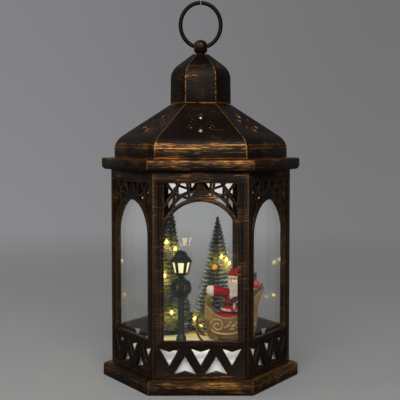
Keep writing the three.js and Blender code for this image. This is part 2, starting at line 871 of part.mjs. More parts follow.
function snowBlock() {
  const rings = 4;
  const around = 18;
  const positions = [0, 0, groundHeight(0, 0), 0, 0, snowBottom];
  const index = [];
  for (let j = 0; j < around; j += 1) {
    const angle = (2 * Math.PI * j) / around;
    const reach = 1 / nearRim(Math.cos(angle), Math.sin(angle));
    for (let i = 1; i <= rings; i += 1) {
      const x = (Math.cos(angle) * reach * i) / rings;
      const y = (Math.sin(angle) * reach * i) / rings;
      positions.push(x, y, groundHeight(x, y));
    }
    positions.push(Math.cos(angle) * reach, Math.sin(angle) * reach, snowBottom);
  }
  const at = (j, i) => 2 + (j % around) * (rings + 1) + (i - 1);
  for (let j = 0; j < around; j += 1) {
    index.push(0, at(j, 1), at(j + 1, 1));
    for (let i = 1; i <= rings; i += 1) {
      index.push(at(j, i), at(j, i + 1), at(j + 1, i + 1));
      index.push(at(j, i), at(j + 1, i + 1), at(j + 1, i));
    }
    index.push(1, at(j + 1, rings + 1), at(j, rings + 1));
  }
  const geometry = new THREE.BufferGeometry();
  geometry.setAttribute('position', new THREE.Float32BufferAttribute(positions, 3));
  geometry.setIndex(index);
  return geometry;
}

const runnerBottom = groundHeight(sleighX, sleighY) - pocketDepth + seatGap;
const lampBottom = groundHeight(lampX, lampY) - pocketDepth + seatGap;
const runnerReach = sleighWidth / 2 + seatGap + runnerRadius;
const runnerY = [sleighY - runnerReach, sleighY + runnerReach];

function treeBottom(tree) {
  return groundHeight(tree.x, tree.y) - pocketDepth + seatGap;
}

function snowGround() {
  const room = box(holeLeft, holeRight, -holeHalfWidth, holeHalfWidth, -cutOver, boxTop + seatGap);
  const high = snowRim + 4 * snowRise;
  const pockets = [rod(lampFootRadius + seatGap, lampBottom - seatGap, high, lampX, lampY)];
  for (const tree of [leftTree, rightTree]) {
    pockets.push(rod(treeFoot + seatGap, treeBottom(tree) - seatGap, high, tree.x, tree.y));
  }
  const half = runnerRadius + seatGap;
  for (const y of runnerY) {
    const [front, back] = [sleighX - runnerFront - pocketRoom, sleighX + runnerBack + pocketRoom];
    pockets.push(box(front, back, y - half, y + half, runnerBottom - seatGap, high));
  }
  return geometryOf(cutBy(solid(snowBlock()), [room, ...pockets]));
}

// Street lamp
const lampPoleTop = lampBottom + lampPoleHeight;
const glassBottom = lampPoleTop + 1.2;
const glassTop = glassBottom + lampGlassHeight;

function lampPost() {
  const foot = lampBottom + lampFootHeight;
  const profile = rounded([
    [0, lampBottom], [lampFootRadius, lampBottom], [lampFootRadius, lampBottom + 2.4],
    [lampFootRadius - 1.4, lampBottom + 4], [lampPoleRadius + 1.1, foot - 1.5], [lampPoleRadius + 1.1, foot],
    [lampPoleRadius, foot + 1], [lampPoleRadius * 0.8, lampPoleTop - 5],
    [lampPoleRadius + 0.9, lampPoleTop - 3.5], [lampPoleRadius * 0.8, lampPoleTop - 2],
    [lampGlassFoot, lampPoleTop], [0, lampPoleTop],
  ]);
  return revolved(profile, 12).translate(lampX, lampY, 0);
}

// The lamp's glass widens upwards, and its cage follows the same taper
function glassRadius(height) {
  return lampGlassFoot + ((lampGlassTop - lampGlassFoot) * (height - glassBottom)) / lampGlassHeight;
}

function taperedGlass(low, high, extra) {
  const radius = (height) => (glassRadius(height) + extra) / flat;
  const frustum = new THREE.CylinderGeometry(radius(high), radius(low), high - low, sides);
  return frustum.rotateX(Math.PI / 2).rotateZ(Math.PI / sides).translate(lampX, lampY, (low + high) / 2);
}

function lampCage() {
  const rail = 0.9;
  const shell = taperedGlass(lampPoleTop + seatGap, glassTop + rail, rail + seatGap);
  const room = taperedGlass(glassBottom, glassTop + 2 * rail, seatGap);
  let cage = cutBy(solid(shell), [room]);
  for (let i = 0; i < sides; i += 1) {
    const width = lampGlassFoot * 0.38;
    const window = standing(polygon([
      [-width, glassBottom + rail], [width, glassBottom + rail],
      [width * 1.5, glassTop - rail], [-width * 1.5, glassTop - rail],
    ]), -2 * lampGlassTop, -1);
    cage = cage.subtract(solid(window.rotateZ((i * 2 * Math.PI) / sides).translate(lampX, lampY, 0)));
  }
  return geometryOf(cage);
}

function lampCap() {
  const low = glassTop + 0.9 + seatGap;
  const top = low + lampCapHeight;
  return revolved(rounded([
    [0, low], [lampCapRadius, low], [lampCapRadius, low + 0.8], [lampCapRadius * 0.7, top - 1.8, 3],
    [1, top - 0.6], [0.9, top + 0.6], [0, top + 1],
  ], 2), sides * 2).translate(lampX, lampY, 0);
}

const wreathHeight = lampPoleTop - wreathDrop;
const wreathY = lampY - lampPoleRadius - seatGap - wreathThickness;

function lampWreath() {
  const torus = new THREE.TorusGeometry(wreathRadius, wreathThickness, 6, 20);
  const position = torus.attributes.position;
  for (let i = 0; i < position.count; i += 1) {
    const x = position.getX(i);
    const y = position.getY(i);
    const ripple = 1 + 0.06 * Math.sin(10 * Math.atan2(y, x));
    position.setXYZ(i, x * ripple, y * ripple, position.getZ(i));
  }
  return torus.rotateX(Math.PI / 2).translate(lampX, wreathY, wreathHeight);
}

function wreathBow() {
  const shape = new THREE.Shape();
  const half = bowWidth / 2;
  shape.moveTo(0, 0.7);
  shape.quadraticCurveTo(half, 4, half, 0);
  shape.quadraticCurveTo(half, -4, 0, -0.7);
  shape.quadraticCurveTo(-half, -4, -half, 0);
  shape.quadraticCurveTo(-half, 4, 0, 0.7);
  const front = wreathY - wreathThickness - seatGap;
  const loops = standing(shape, front - 1.6, front, 4);
  const knot = box(-1.1, 1.1, front - 2.4, front - 0.2, -1.2, 1.2);
  return geometryOf(joined([loops, knot])).translate(lampX, 0, wreathHeight + wreathRadius);
}

// Trees: wire core with strands, each strand a thin three-sided point that starts inside the core
const strandRoot = treeCore * 0.7;

function treeReach(tree, height) {
  const share = (height - treeBare) / (tree.height - treeBare);
  return tree.radius * (1 - THREE.MathUtils.clamp(share, 0, 1)) + 0.8;
}

function ringHeight(tree, ring) {
  return treeBare + ((tree.height - treeBare - treeTip) * ring) / (tree.rings - 1);
}

function strandAngle(tree, ring, k) {
  return (2 * Math.PI * (k + (ring % 2) / 2)) / strandsPerRing + tree.spin;
}

function strand(tree, height, angle) {
  const length = treeReach(tree, height);
  const point = new THREE.ConeGeometry(strandRadius, length, 3).translate(0, length / 2, 0);
  const aim = new THREE.Vector3(Math.cos(angle), Math.sin(angle), strandRise).normalize();
  point.applyQuaternion(new THREE.Quaternion().setFromUnitVectors(new THREE.Vector3(0, 1, 0), aim));
  return point.translate(strandRoot * Math.cos(angle), strandRoot * Math.sin(angle), height);
}

function bottleBrush(tree) {
  const pieces = [
    rod(treeCore, 0, tree.height, 0, 0, 6),
    rod(treeFoot, 0, treeFootHeight, 0, 0, 12),
  ];
  for (let ring = 0; ring < tree.rings; ring += 1) {
    for (let k = 0; k < strandsPerRing; k += 1) {
      pieces.push(strand(tree, ringHeight(tree, ring), strandAngle(tree, ring, k)));
    }
  }
  return geometryOf(joined(pieces)).translate(tree.x, tree.y, treeBottom(tree));
}

function stringPoint(tree, string, share) {
  const low = treeBare + string.bottom;
  const high = tree.height - string.top;
  const height = high - share * (high - low);
  const angle = -Math.PI / 2 + string.phase + (2 * Math.PI * (high - height)) / string.pitch;
  const droop = (strandRise * tree.radius) / 2;
  const reach = treeReach(tree, height - droop) + wireClear + wireRadius + strandRoot;
  return [reach * Math.cos(angle), reach * Math.sin(angle), height];
}

// The least distance between stretches of the wire that are at least half a turn apart
function leastGap(points, apart) {
  let least = Infinity;
  for (let i = 0; i < points.length; i += 1) {
    for (let j = i + apart; j < points.length; j += 1) {
      least = Math.min(least, points[i].distanceTo(points[j]));
    }
  }
  return least - 2 * wireRadius;
}

function lightString(name, tree, string) {
  const turns = (tree.height - string.top - treeBare - string.bottom) / string.pitch;
  const steps = Math.round(turns * loopSteps);
  const route = new Route((t) => stringPoint(tree, string, t));
  const points = route.getPoints(steps);
  console.log(`${name} least gap to itself: ${leastGap(points, loopSteps / 2).toFixed(2)} mm`);
  const pieces = [swept(route, wireRadius, steps, wireSides)];
  for (const share of string.beads) {
    const [x, y, z] = stringPoint(tree, string, share);
    pieces.push(new THREE.OctahedronGeometry(beadRadius, 0).translate(x, y, z));
  }
  return geometryOf(joined(pieces)).translate(tree.x, tree.y, treeBottom(tree));
}

// Sleigh, drawn from its side with x from its middle and y from the runner's underside
function sleighOutline() {
  const shape = new THREE.Shape();
  const [nose, tail] = [sleighNose + 2.5, sleighTail - 5];
  const chest = sleighNose - 2;
  shape.moveTo(nose, sleighBottom);
  shape.lineTo(tail - 9, sleighBottom);
  shape.bezierCurveTo(tail - 1, sleighBottom + 1, tail, sleighSide - 10, tail, sleighSide);
  shape.bezierCurveTo(tail, sleighSide + 10, sleighTail - 1, sleighTailTop - 5.5, sleighTail, sleighTailTop);
  shape.bezierCurveTo(tail, sleighTailTop - 0.5, tail - 4, sleighTailTop - 6.5, tail - 6, sleighSide + 5);
  shape.bezierCurveTo(tail - 8, sleighSide - 2, tail - 16, sleighDip, tail - 24, sleighDip);
  shape.bezierCurveTo(nose + 7, sleighDip, nose + 3, sleighDip + 3.5, sleighNose, sleighNoseTop);
  shape.bezierCurveTo(chest, sleighNoseTop - 5, chest, sleighBottom + 7, nose, sleighBottom);
  return shape;
}

function sleighRoom() {
  const shape = new THREE.Shape();
  const [front, back] = [sleighNose + 0.9, sleighTail - 7.4];
  shape.moveTo(front + 3.1, sleighFloor);
  shape.lineTo(back - 7.1, sleighFloor);
  shape.bezierCurveTo(back - 1.1, sleighFloor + 2, back, sleighSide - 10, back, sleighSide);
  shape.lineTo(back, sleighTailTop + cutOver);
  shape.lineTo(front + 3.1, sleighTailTop + cutOver);
  shape.lineTo(front, sleighSide);
  shape.bezierCurveTo(front - 0.2, sleighSide - 4, front, sleighFloor + 5, front + 3.1, sleighFloor);
  return shape;
}

function sleighBody() {
  const near = -sleighWidth / 2;
  const hull = standing(sleighOutline(), near, -near, 6);
  const room = standing(sleighRoom(), near + sleighWall, -near - sleighWall, 6);
  const seat = solid(box(-2, 19, near + joinOver, -near - joinOver, sleighFloor - joinOver, seatHeight));
  const body = cutBy(solid(hull), [room]).add(seat.intersect(solid(hull)));
  return geometryOf(body).translate(sleighX, sleighY, runnerBottom);
}

// The runner's scroll winds outwards, drops to the ground, runs back and turns up a little at its tail
function runnerRoute() {
  const ground = runnerRadius;
  const scrollHeight = ground + runnerRise;
  const curlX = -runnerFront + scrollRadius;
  const scroll = new Route((t) => {
    const inward = (1 - t) ** 2;
    const radius = scrollRadius - (scrollRadius - 2.2 * runnerRadius) * inward;
    const angle = Math.PI - (1 - t) * 1.75 * Math.PI;
    return [curlX + radius * Math.cos(angle), 0, scrollHeight + radius * Math.sin(angle)];
  });
  const point = (x, z) => new THREE.Vector3(x, 0, z);
  const route = new THREE.CurvePath();
  route.add(scroll);
  route.add(new THREE.CubicBezierCurve3(
    point(-runnerFront, scrollHeight), point(-runnerFront, ground + 4),
    point(-runnerFront + 6, ground), point(-runnerFront + 13, ground),
  ));
  route.add(new THREE.LineCurve3(point(-runnerFront + 13, ground), point(runnerBack - 6, ground)));
  route.add(new THREE.QuadraticBezierCurve3(
    point(runnerBack - 6, ground), point(runnerBack - 2, ground), point(runnerBack, ground + 2),
  ));
  return route;
}

function runner(y) {
  const pieces = [swept(runnerRoute(), runnerRadius, 26, 6)];
  for (const x of [-10, 8]) {
    pieces.push(rod(runnerRadius * 0.9, runnerRadius, 9, x, 0, 6));
  }
  return geometryOf(joined(pieces)).translate(sleighX, y, runnerBottom);
}

// Rider, sack and gifts, in the sleigh's own frame
function inSleigh(geometry) {
  return geometry.translate(sleighX, sleighY, runnerBottom);
}

function limb(from, to, startRadius, endRadius = startRadius, count = 8) {
  const start = new THREE.Vector3(...from);
  const end = new THREE.Vector3(...to);
  const along = end.clone().sub(start);
  const shaft = new THREE.CylinderGeometry(endRadius, startRadius, along.length(), count);
  const upwards = new THREE.Vector3(0, 1, 0);
  const aim = new THREE.Quaternion().setFromUnitVectors(upwards, along.clone().normalize());
  shaft.applyQuaternion(aim).translate(...start.clone().add(end).multiplyScalar(0.5).toArray());
  return shaft;
}

const hipHeight = seatHeight + seatGap + 4;
const wristX = -13;
const sleeveHeight = 42.5;
const sleeveY = -7.5;
const nearShoulder = [riderX - 5.4, -2, riderShoulder - 3];
const nearWrist = [wristX, sleeveY, sleeveHeight];

function riderLegs() {
  const pieces = [];
  for (const side of [-1, 1]) {
    const y = side * legSpread;
    const knee = [kneeX, y, hipHeight];
    const ankle = [kneeX - 0.5, y, sleighFloor + seatGap + 2.6];
    pieces.push(limb([riderX, y, hipHeight], knee, 4, 3.4, 6));
    pieces.push(ball(3.5, ...knee, 6, 4), limb(knee, ankle, 3, 2.6, 6));
    const boot = ball(1, 0, 0, 0, 6, 5).scale(4.2, 2.4, 2.4);
    pieces.push(boot.translate(ankle[0] - 1.6, y, ankle[2] - 0.2));
  }
  pieces.push(ball(1, 0, 0, 0, 6, 4).scale(4.6, 7.6, 4.2).translate(riderX + 0.6, 0, hipHeight + 0.2));
  return geometryOf(joined(pieces));
}

// The rider faces the front wall, with the torso broader than it is deep
function torso(extra) {
  const profile = rounded([
    [0, riderHem - extra], [7.4 + extra, riderHem - extra], [7.2 + extra, riderHem + 3, 4],
    [5.9 + extra, riderHem + 8, 6], [6.7 + extra, riderShoulder - 5, 6], [5.6 + extra, riderShoulder, 3],
    [0, riderShoulder + 3 + extra],
  ], 2);
  return revolved(profile, 10).scale(riderBroad, riderDeep, 1).translate(riderX, 0, 0);
}

function headBall(extra) {
  return ball(headRadius + extra, headX, 0, headHeight, 10, 7);
}

function farArm(extra) {
  const shoulder = [riderX + 5.4, -1.5, riderShoulder - 3.6];
  const elbow = [riderX + 5.8, -4.6, 33.6];
  const hand = [headX - 0.8, -7.6, 36.6];
  return [
    limb(shoulder, elbow, 3.2 + extra, 2.9 + extra, 6), ball(2.9 + extra, ...elbow, 6, 5),
    limb(elbow, hand, 2.9 + extra, 2.8 + extra, 6), ball(2.8 + extra, ...hand, 6, 4),
  ];
}

function riderCoat() {
  const nearSleeve = limb(nearShoulder, nearWrist, 3.4, sleeveRadius);
  const body = joined([torso(0), nearSleeve, ...farArm(0)]);
  const legRoom = box(-30, 30, -30, 30, 0, riderHem);
  const pastWrist = box(-30, wristX, -30, 0, 0, 90);
  return geometryOf(cutBy(body, [headBall(seatGap), legRoom, pastWrist]));
}

function riderHeadShape() {
  const nose = ball(1, headX, -headRadius - 0.1, headHeight + 0.2, 6, 4);
  return geometryOf(joined([headBall(0), nose]));
}

// Beard and hair: a long beard on the chest that widens to the hair at the temples
function riderBeard() {
  const beard = ball(1, 0, 0, 0, 8, 6).scale(5.8, 4.4, 9).translate(headX, -4.4, headHeight - 6.4);
  const hair = ball(1, 0, 0, 0, 8, 6).scale(6.8, 6, 6.4).translate(headX, 0.2, headHeight - 1.4);
  const face = box(headX - 3, headX + 3, -30, -1, headHeight - 1.6, headHeight + 20);
  const under = box(-20, 30, -20, 20, hatBase - seatGap, headHeight + 20);
  const sleeve = limb(nearShoulder, nearWrist, 3.4 + seatGap + 0.1, sleeveRadius + seatGap + 0.1);
  const cutters = [headBall(seatGap), torso(seatGap + 0.1), face, under, sleeve, ...farArm(seatGap + 0.1)];
  return geometryOf(cutBy(joined([beard, hair]), cutters));
}

const hatBase = headHeight + 1.4;

function riderHat() {
  const dome = ball(1, 0, 0, 0, 12, 8).scale(hatRadius, hatRadius * riderDeep, hatRise);
  dome.translate(headX, 0.4, hatBase + bandHeightOfHat / 2);
  const tip = limb([headX + 4, 1, hatBase + 6.5], [headX + 7.8, 1.6, hatBase + 3.4], 3, 1.6);
  const under = box(-20, 30, -20, 20, 0, hatBase + bandHeightOfHat + seatGap);
  return geometryOf(cutBy(joined([dome, tip]), [headBall(seatGap), under]));
}

function hatBand() {
  const band = revolved(rounded([
    [2, hatBase], [6.6, hatBase, 1], [6.6, hatBase + bandHeightOfHat, 1],
    [2, hatBase + bandHeightOfHat], [2, hatBase],
  ], 1), 12).scale(1, riderDeep, 1).translate(headX, 0.2, 0);
  return geometryOf(cutBy(solid(band), [headBall(seatGap)]));
}

function riderCuff() {
  const cuff = ball(cuffRadius, wristX - 3.2, sleeveY, sleeveHeight, 10, 8);
  return geometryOf(cutBy(solid(cuff), [box(wristX - seatGap, 10, -30, 30, 0, 90)]));
}

function riderMitten() {
  const mitten = ball(1, 0, 0, 0, 8, 6).scale(mittenRadius, mittenRadius, mittenRadius * 1.3);
  mitten.translate(wristX - 4, sleeveY, sleeveHeight + cuffRadius + 1.6);
  const thumb = ball(1.2, wristX - 1.7, sleeveY, sleeveHeight + cuffRadius + 1.4, 6, 4);
  const cuff = ball(cuffRadius + seatGap, wristX - 3.2, sleeveY, sleeveHeight, 10, 8);
  return geometryOf(cutBy(joined([mitten, thumb]), [cuff]));
}

function giftSack() {
  const low = seatHeight + seatGap;
  const profile = rounded([
    [0, low], [sackRadius - 0.9, low, 1], [sackRadius, low + 10, 12],
    [sackRadius - 0.9, sackTop - 6, 6], [sackMouth, sackTop], [0, sackTop],
  ], 2);
  return revolved(profile, 12).scale(sackNarrow, sackWide, 1).translate(sackX, 0, 0);
}

function giftBoxSolid() {
  const half = giftBox / 2;
  const low = sackTop + seatGap;
  return box(
    giftBoxX - half, giftBoxX + half, giftBoxY - half, giftBoxY + half, low, low + giftBoxHeight,
  );
}

// The ball leans out over the rim of the sack's mouth
function giftBall() {
  const reach = giftBallRadius + seatGap;
  const rim = sackMouth * sackNarrow * Math.sqrt(1 - (giftBallY / (sackMouth * sackWide)) ** 2);
  const x = sackX + rim + reach * Math.cos(giftBallLean);
  return ball(giftBallRadius, x, giftBallY, sackTop + reach * Math.sin(giftBallLean), 10, 6);
}

function garland() {
  const length = sleighWidth - 4 * sleighWall;
  const profile = [];
  const bumps = 10;
  for (let i = 0; i <= bumps; i += 1) {
    const share = i / bumps;
    const swell = Math.sqrt(Math.max(0, 1 - (2 * share - 1) ** 4));
    profile.push([garlandRadius * swell * (0.93 + 0.07 * (i % 2)), (share - 0.5) * length]);
  }
  const height = sleighNoseTop + 0.6 + garlandRadius;
  return revolved(profile, 8).rotateX(Math.PI / 2).translate(sleighNose + 2.1, 0, height);
}

// The bauble hangs under one strand, close to its tip
function treeBauble() {
  const height = ringHeight(rightTree, baubleRing);
  const angle = strandAngle(rightTree, baubleRing, baubleStrand);
  const along = baubleAlong * treeReach(rightTree, height);
  const reach = strandRoot + along / Math.hypot(1, strandRise);
  const [x, y] = [reach * Math.cos(angle), reach * Math.sin(angle)];
  const under = strandRadius * (1 - baubleAlong) + seatGap;
  const top = height + (reach - strandRoot) * strandRise - under;
  const centre = top - baubleCap - baubleRadius;
  const cap = rod(baubleCap, centre, top, x, y, 8);
  const whole = geometryOf(joined([ball(baubleRadius, x, y, centre, 8, 6), cap]));
  return whole.translate(rightTree.x, rightTree.y, treeBottom(rightTree));
}

addPart('base_plinth', plinth(), 'bronze');
addPart('battery_box', batteryBox(), 'blackPlastic');
addPart('battery_door', batteryDoor(), 'blackPlastic');
addBatteryCells();
addPart('contact_left', contactStrip(-1), 'steel');
addPart('contact_right', contactStrip(1), 'steel');
screwSpots.forEach(([x, y], i) => addPart(`box_screw_${i + 1}`, screw(x, y), 'steel'));
addPart('switch_body', switchBody(), 'blackPlastic');
addPart('switch_knob', switchKnob(), 'blackPlastic');
addPart('timer_board', timerBoard(), 'board');
addWalls();
addPart('cornice', cornice(), 'bronze');
addPart('roof_shell', roof(), 'bronze');
addPart('cupola', cupola(), 'bronze');
addPart('finial_ball', finialBall(), 'bronze');
addPart('finial_nut', finialNut(), 'steel');
addPart('ring_handle', carryingRing(), 'ring');
addPart('snow_ground', snowGround(), 'snow');
addPart('lamp_post', lampPost(), 'lampIron');
addPart('lamp_cage', lampCage(), 'lampIron');
addPart('lamp_cap', lampCap(), 'lampIron');
addPart('lamp_glass', taperedGlass(glassBottom + seatGap, glassTop, 0), 'lampGlass');
addPart('lamp_wreath', lampWreath(), 'wreath');
addPart('wreath_bow', wreathBow(), 'bow');
addPart('tree_left', bottleBrush(leftTree), 'needles');
addPart('tree_right', bottleBrush(rightTree), 'needles');
addPart('light_string_left', lightString('light_string_left', leftTree, leftString), 'wire');
addPart('light_string_right', lightString('light_string_right', rightTree, rightString), 'wire');
addPart('sleigh_body', sleighBody(), 'gold');
addPart('sleigh_runner_front', runner(runnerY[0]), 'gold');
addPart('sleigh_runner_back', runner(runnerY[1]), 'gold');

addPart('rider_legs', inSleigh(riderLegs()), 'red');
addPart('rider_coat', inSleigh(riderCoat()), 'red');
addPart('rider_cuff', inSleigh(riderCuff()), 'white');
addPart('rider_mitten', inSleigh(riderMitten()), 'black');
addPart('rider_head', inSleigh(riderHeadShape()), 'skin');
addPart('rider_beard', inSleigh(riderBeard()), 'white');
addPart('rider_hat', inSleigh(riderHat()), 'red');
addPart('hat_band', inSleigh(hatBand()), 'white');
addPart('gift_sack', inSleigh(giftSack()), 'sack');
addPart('gift_box', inSleigh(giftBoxSolid()), 'teal');
addPart('gift_ball', inSleigh(giftBall()), 'red');
addPart('sleigh_garland', inSleigh(garland()), 'wreath');
addPart('tree_bauble', treeBauble(), 'gold');

export default lantern;
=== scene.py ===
import math

import bmesh
import bpy
from bpy.props import FloatProperty, FloatVectorProperty, IntProperty, PointerProperty
from mathutils import Matrix, Vector, noise


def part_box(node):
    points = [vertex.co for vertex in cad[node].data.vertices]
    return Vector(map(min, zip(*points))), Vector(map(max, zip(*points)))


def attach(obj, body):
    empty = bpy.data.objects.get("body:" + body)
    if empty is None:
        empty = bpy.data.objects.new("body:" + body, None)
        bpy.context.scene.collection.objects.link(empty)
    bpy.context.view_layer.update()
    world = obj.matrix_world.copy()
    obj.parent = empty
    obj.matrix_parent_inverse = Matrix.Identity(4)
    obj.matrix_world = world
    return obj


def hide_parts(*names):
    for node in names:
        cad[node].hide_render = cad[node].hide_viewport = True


bl_info = {
    "name": "Snow Scene Lantern",
    "version": (1, 0, 0),
    "blender": (4, 5, 0),
    "location": "3D View > Sidebar > Lantern",
    "description": "Dresses a six-sided lantern that holds a lit snow scene behind arched windows",
    "category": "Object",
}

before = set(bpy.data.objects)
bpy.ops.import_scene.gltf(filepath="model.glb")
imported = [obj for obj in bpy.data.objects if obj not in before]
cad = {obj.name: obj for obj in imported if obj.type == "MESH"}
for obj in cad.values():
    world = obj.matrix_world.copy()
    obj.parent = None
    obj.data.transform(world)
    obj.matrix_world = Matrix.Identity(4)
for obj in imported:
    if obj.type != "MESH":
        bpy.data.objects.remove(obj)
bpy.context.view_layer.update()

# Sizes in the tables and shapes below are in millimetres, and MM makes them metres
MM = 0.001
TURN = 2 * math.pi
SIDE = TURN / 6
FLAT = math.radians(0.4)


def tint(red, green, blue):
    """The linear colour of a screen colour that is given from 0 to 255."""
    shares = [value / 255 for value in (red, green, blue)]
    return tuple(s / 12.92 if s <= 0.04045 else ((s + 0.055) / 1.055) ** 2.4 for s in shares)


def scaled(colour, factor):
    """A colour made darker or lighter."""
    return tuple(c * factor for c in colour)


def rgba(colour):
    """A colour with its fourth number; a socket stays as it is."""
    return colour if isinstance(colour, bpy.types.NodeSocket) else (*colour, 1)


def colour_choice(name, description, default):
    """A colour that can be changed; its default is a screen colour."""
    return FloatVectorProperty(
        name=name, description=description, subtype="COLOR", size=3, min=0, max=1, default=tint(*default)
    )


def length_choice(name, description, default):
    """A length that can be changed; its default is in millimetres."""
    return FloatProperty(name=name, description=description, unit="LENGTH", default=default * MM)


class HousingLook(bpy.types.PropertyGroup):
    """Looks of the housing and its panes"""
    dark: colour_choice("Dark bronze", "Colour under the brushed gold", (19, 14, 11))
    brown: colour_choice("Brown bronze", "Colour where a little gold has caught", (66, 42, 24))
    gold: colour_choice("Brushed gold", "Colour of the gold that is dragged over the edges", (214, 150, 74))
    edge: length_choice("Edge round", "Rounding of the moulded edges", 0.35)
    wear: length_choice("Gold edge", "How far the gold reaches in from an edge", 0.8)
    pane: colour_choice("Pane", "Colour of the clear window panes", (254, 255, 253))


class TreeLook(bpy.types.PropertyGroup):
    """Looks of the two bottle-brush trees"""
    needle: colour_choice("Bristle", "Colour of the bottle-brush bristles", (21, 32, 22))
    frost: colour_choice("Frost", "Colour of the snow on the bristles", (214, 220, 220))
    # Painted light: the colour of the bristles near a light, as if lit by it.
    painted_bead_glow: colour_choice("Warmed bristle", "Colour of the bristles close to a light", (186, 192, 56))
    thickness: length_choice("Bristle thickness", "Radius of one bristle at its root", 0.25)
    fullness: FloatProperty(name="Fullness", description="How closely the bristles stand", default=1)
    seed: IntProperty(name="Seed", description="Seed of the bristles' small differences", default=7)


class LightLook(bpy.types.PropertyGroup):
    """Looks of the light strings and the street lamp's light"""
    warm: colour_choice("Warm light", "Colour of the light that the strings give", (255, 224, 124))
    core: colour_choice("Light core", "Colour of a light as it is seen", (255, 252, 196))
    bead: FloatProperty(name="Light strength", description="Strength of each light of a string", default=800)
    lamp: FloatProperty(name="Lamp strength", description="Strength of the street lamp's panes", default=36)
    wire: colour_choice("Wire", "Colour of the light strings' wire", (84, 78, 48))


class FigureLook(bpy.types.PropertyGroup):
    """Looks of the rider, the sleigh and the greenery"""
    # Painted shade: the red, the fur and the sleigh gold are set darker than their paint, for the dimmer
    # light inside the lantern.
    red: colour_choice("Red cloth", "Colour of the rider's coat, trousers and hat", (116, 3, 10))
    fur: colour_choice("White fur", "Colour of the trims, beard and hair", (166, 155, 141))
    skin: colour_choice("Skin", "Colour of the rider's face", (224, 170, 140))
    gold: colour_choice("Sleigh gold", "Colour of the sleigh", (118, 88, 42))
    green: colour_choice("Evergreen", "Colour of the wreath and garland", (12, 34, 22))


class StageLook(bpy.types.PropertyGroup):
    """Looks of the floor, the backdrop and the lights around the lantern"""
    floor: colour_choice("Floor", "Colour of the floor", (155, 155, 155))
    top: colour_choice("Backdrop top", "Colour of the backdrop high up", (121, 121, 123))
    middle: colour_choice("Backdrop middle", "Colour of the backdrop at mid height", (130, 130, 132))
    key: FloatProperty(name="Key light", description="Power of the main soft light", unit="POWER", default=30)
    ambient: FloatProperty(name="Ambient", description="Strength of the even light", default=0.27)


# Node trees

class Nodes:
    """A node tree that is built step by step."""

    def __init__(self, tree):
        self.tree = tree

    def add(self, kind, sockets=None, **settings):
        """Adds a node and fills its sockets, which are given by number or name."""
        node = self.tree.nodes.new(kind)
        for key, value in settings.items():
            setattr(node, key, value)
        for key, value in (sockets or {}).items():
            self.plug(value, node.inputs[key])
        return node

    def plug(self, value, socket):
        """Joins a socket to another one, or sets its value."""
        if isinstance(value, bpy.types.NodeSocket):
            self.tree.links.new(value, socket)
        elif value is not None:
            socket.default_value = value

    def math(self, operation, first, second=None, third=None, clamp=False):
        sockets = {0: first, 1: second, 2: third}
        node = self.add("ShaderNodeMath", sockets, operation=operation, use_clamp=clamp)
        return node.outputs[0]

    def vector(self, x, y, z):
        return self.add("ShaderNodeCombineXYZ", {0: x, 1: y, 2: z}).outputs[0]

    def parts(self, vector):
        """The X, Y and Z of a vector."""
        return self.add("ShaderNodeSeparateXYZ", {0: vector}).outputs

    def smooth_step(self, value, low, high, bottom=0.0, top=1.0):
        """Goes softly from bottom to top as the value goes from low to high."""
        sockets = {"Value": value, "From Min": low, "From Max": high, "To Min": bottom, "To Max": top}
        node = self.add("ShaderNodeMapRange", sockets, interpolation_type="SMOOTHSTEP")
        return node.outputs["Result"]

    def blend(self, share, first, second, kind="MIX"):
        """Goes from the first colour to the second as the share goes from 0 to 1."""
        sockets = {0: share, 6: rgba(first), 7: rgba(second)}
        return self.add("ShaderNodeMix", sockets, data_type="RGBA", blend_type=kind).outputs[2]

    def either(self, share, first, second):
        """Goes from the first shader to the second as the share goes from 0 to 1."""
        return self.add("ShaderNodeMixShader", {0: share, 1: first, 2: second}).outputs[0]

    def mirrored(self, path):
        """1 for a mirrored ray, 0 for a ray that is sent through glass."""
        return self.math("SUBTRACT", path["Is Glossy Ray"], path["Is Transmission Ray"], clamp=True)


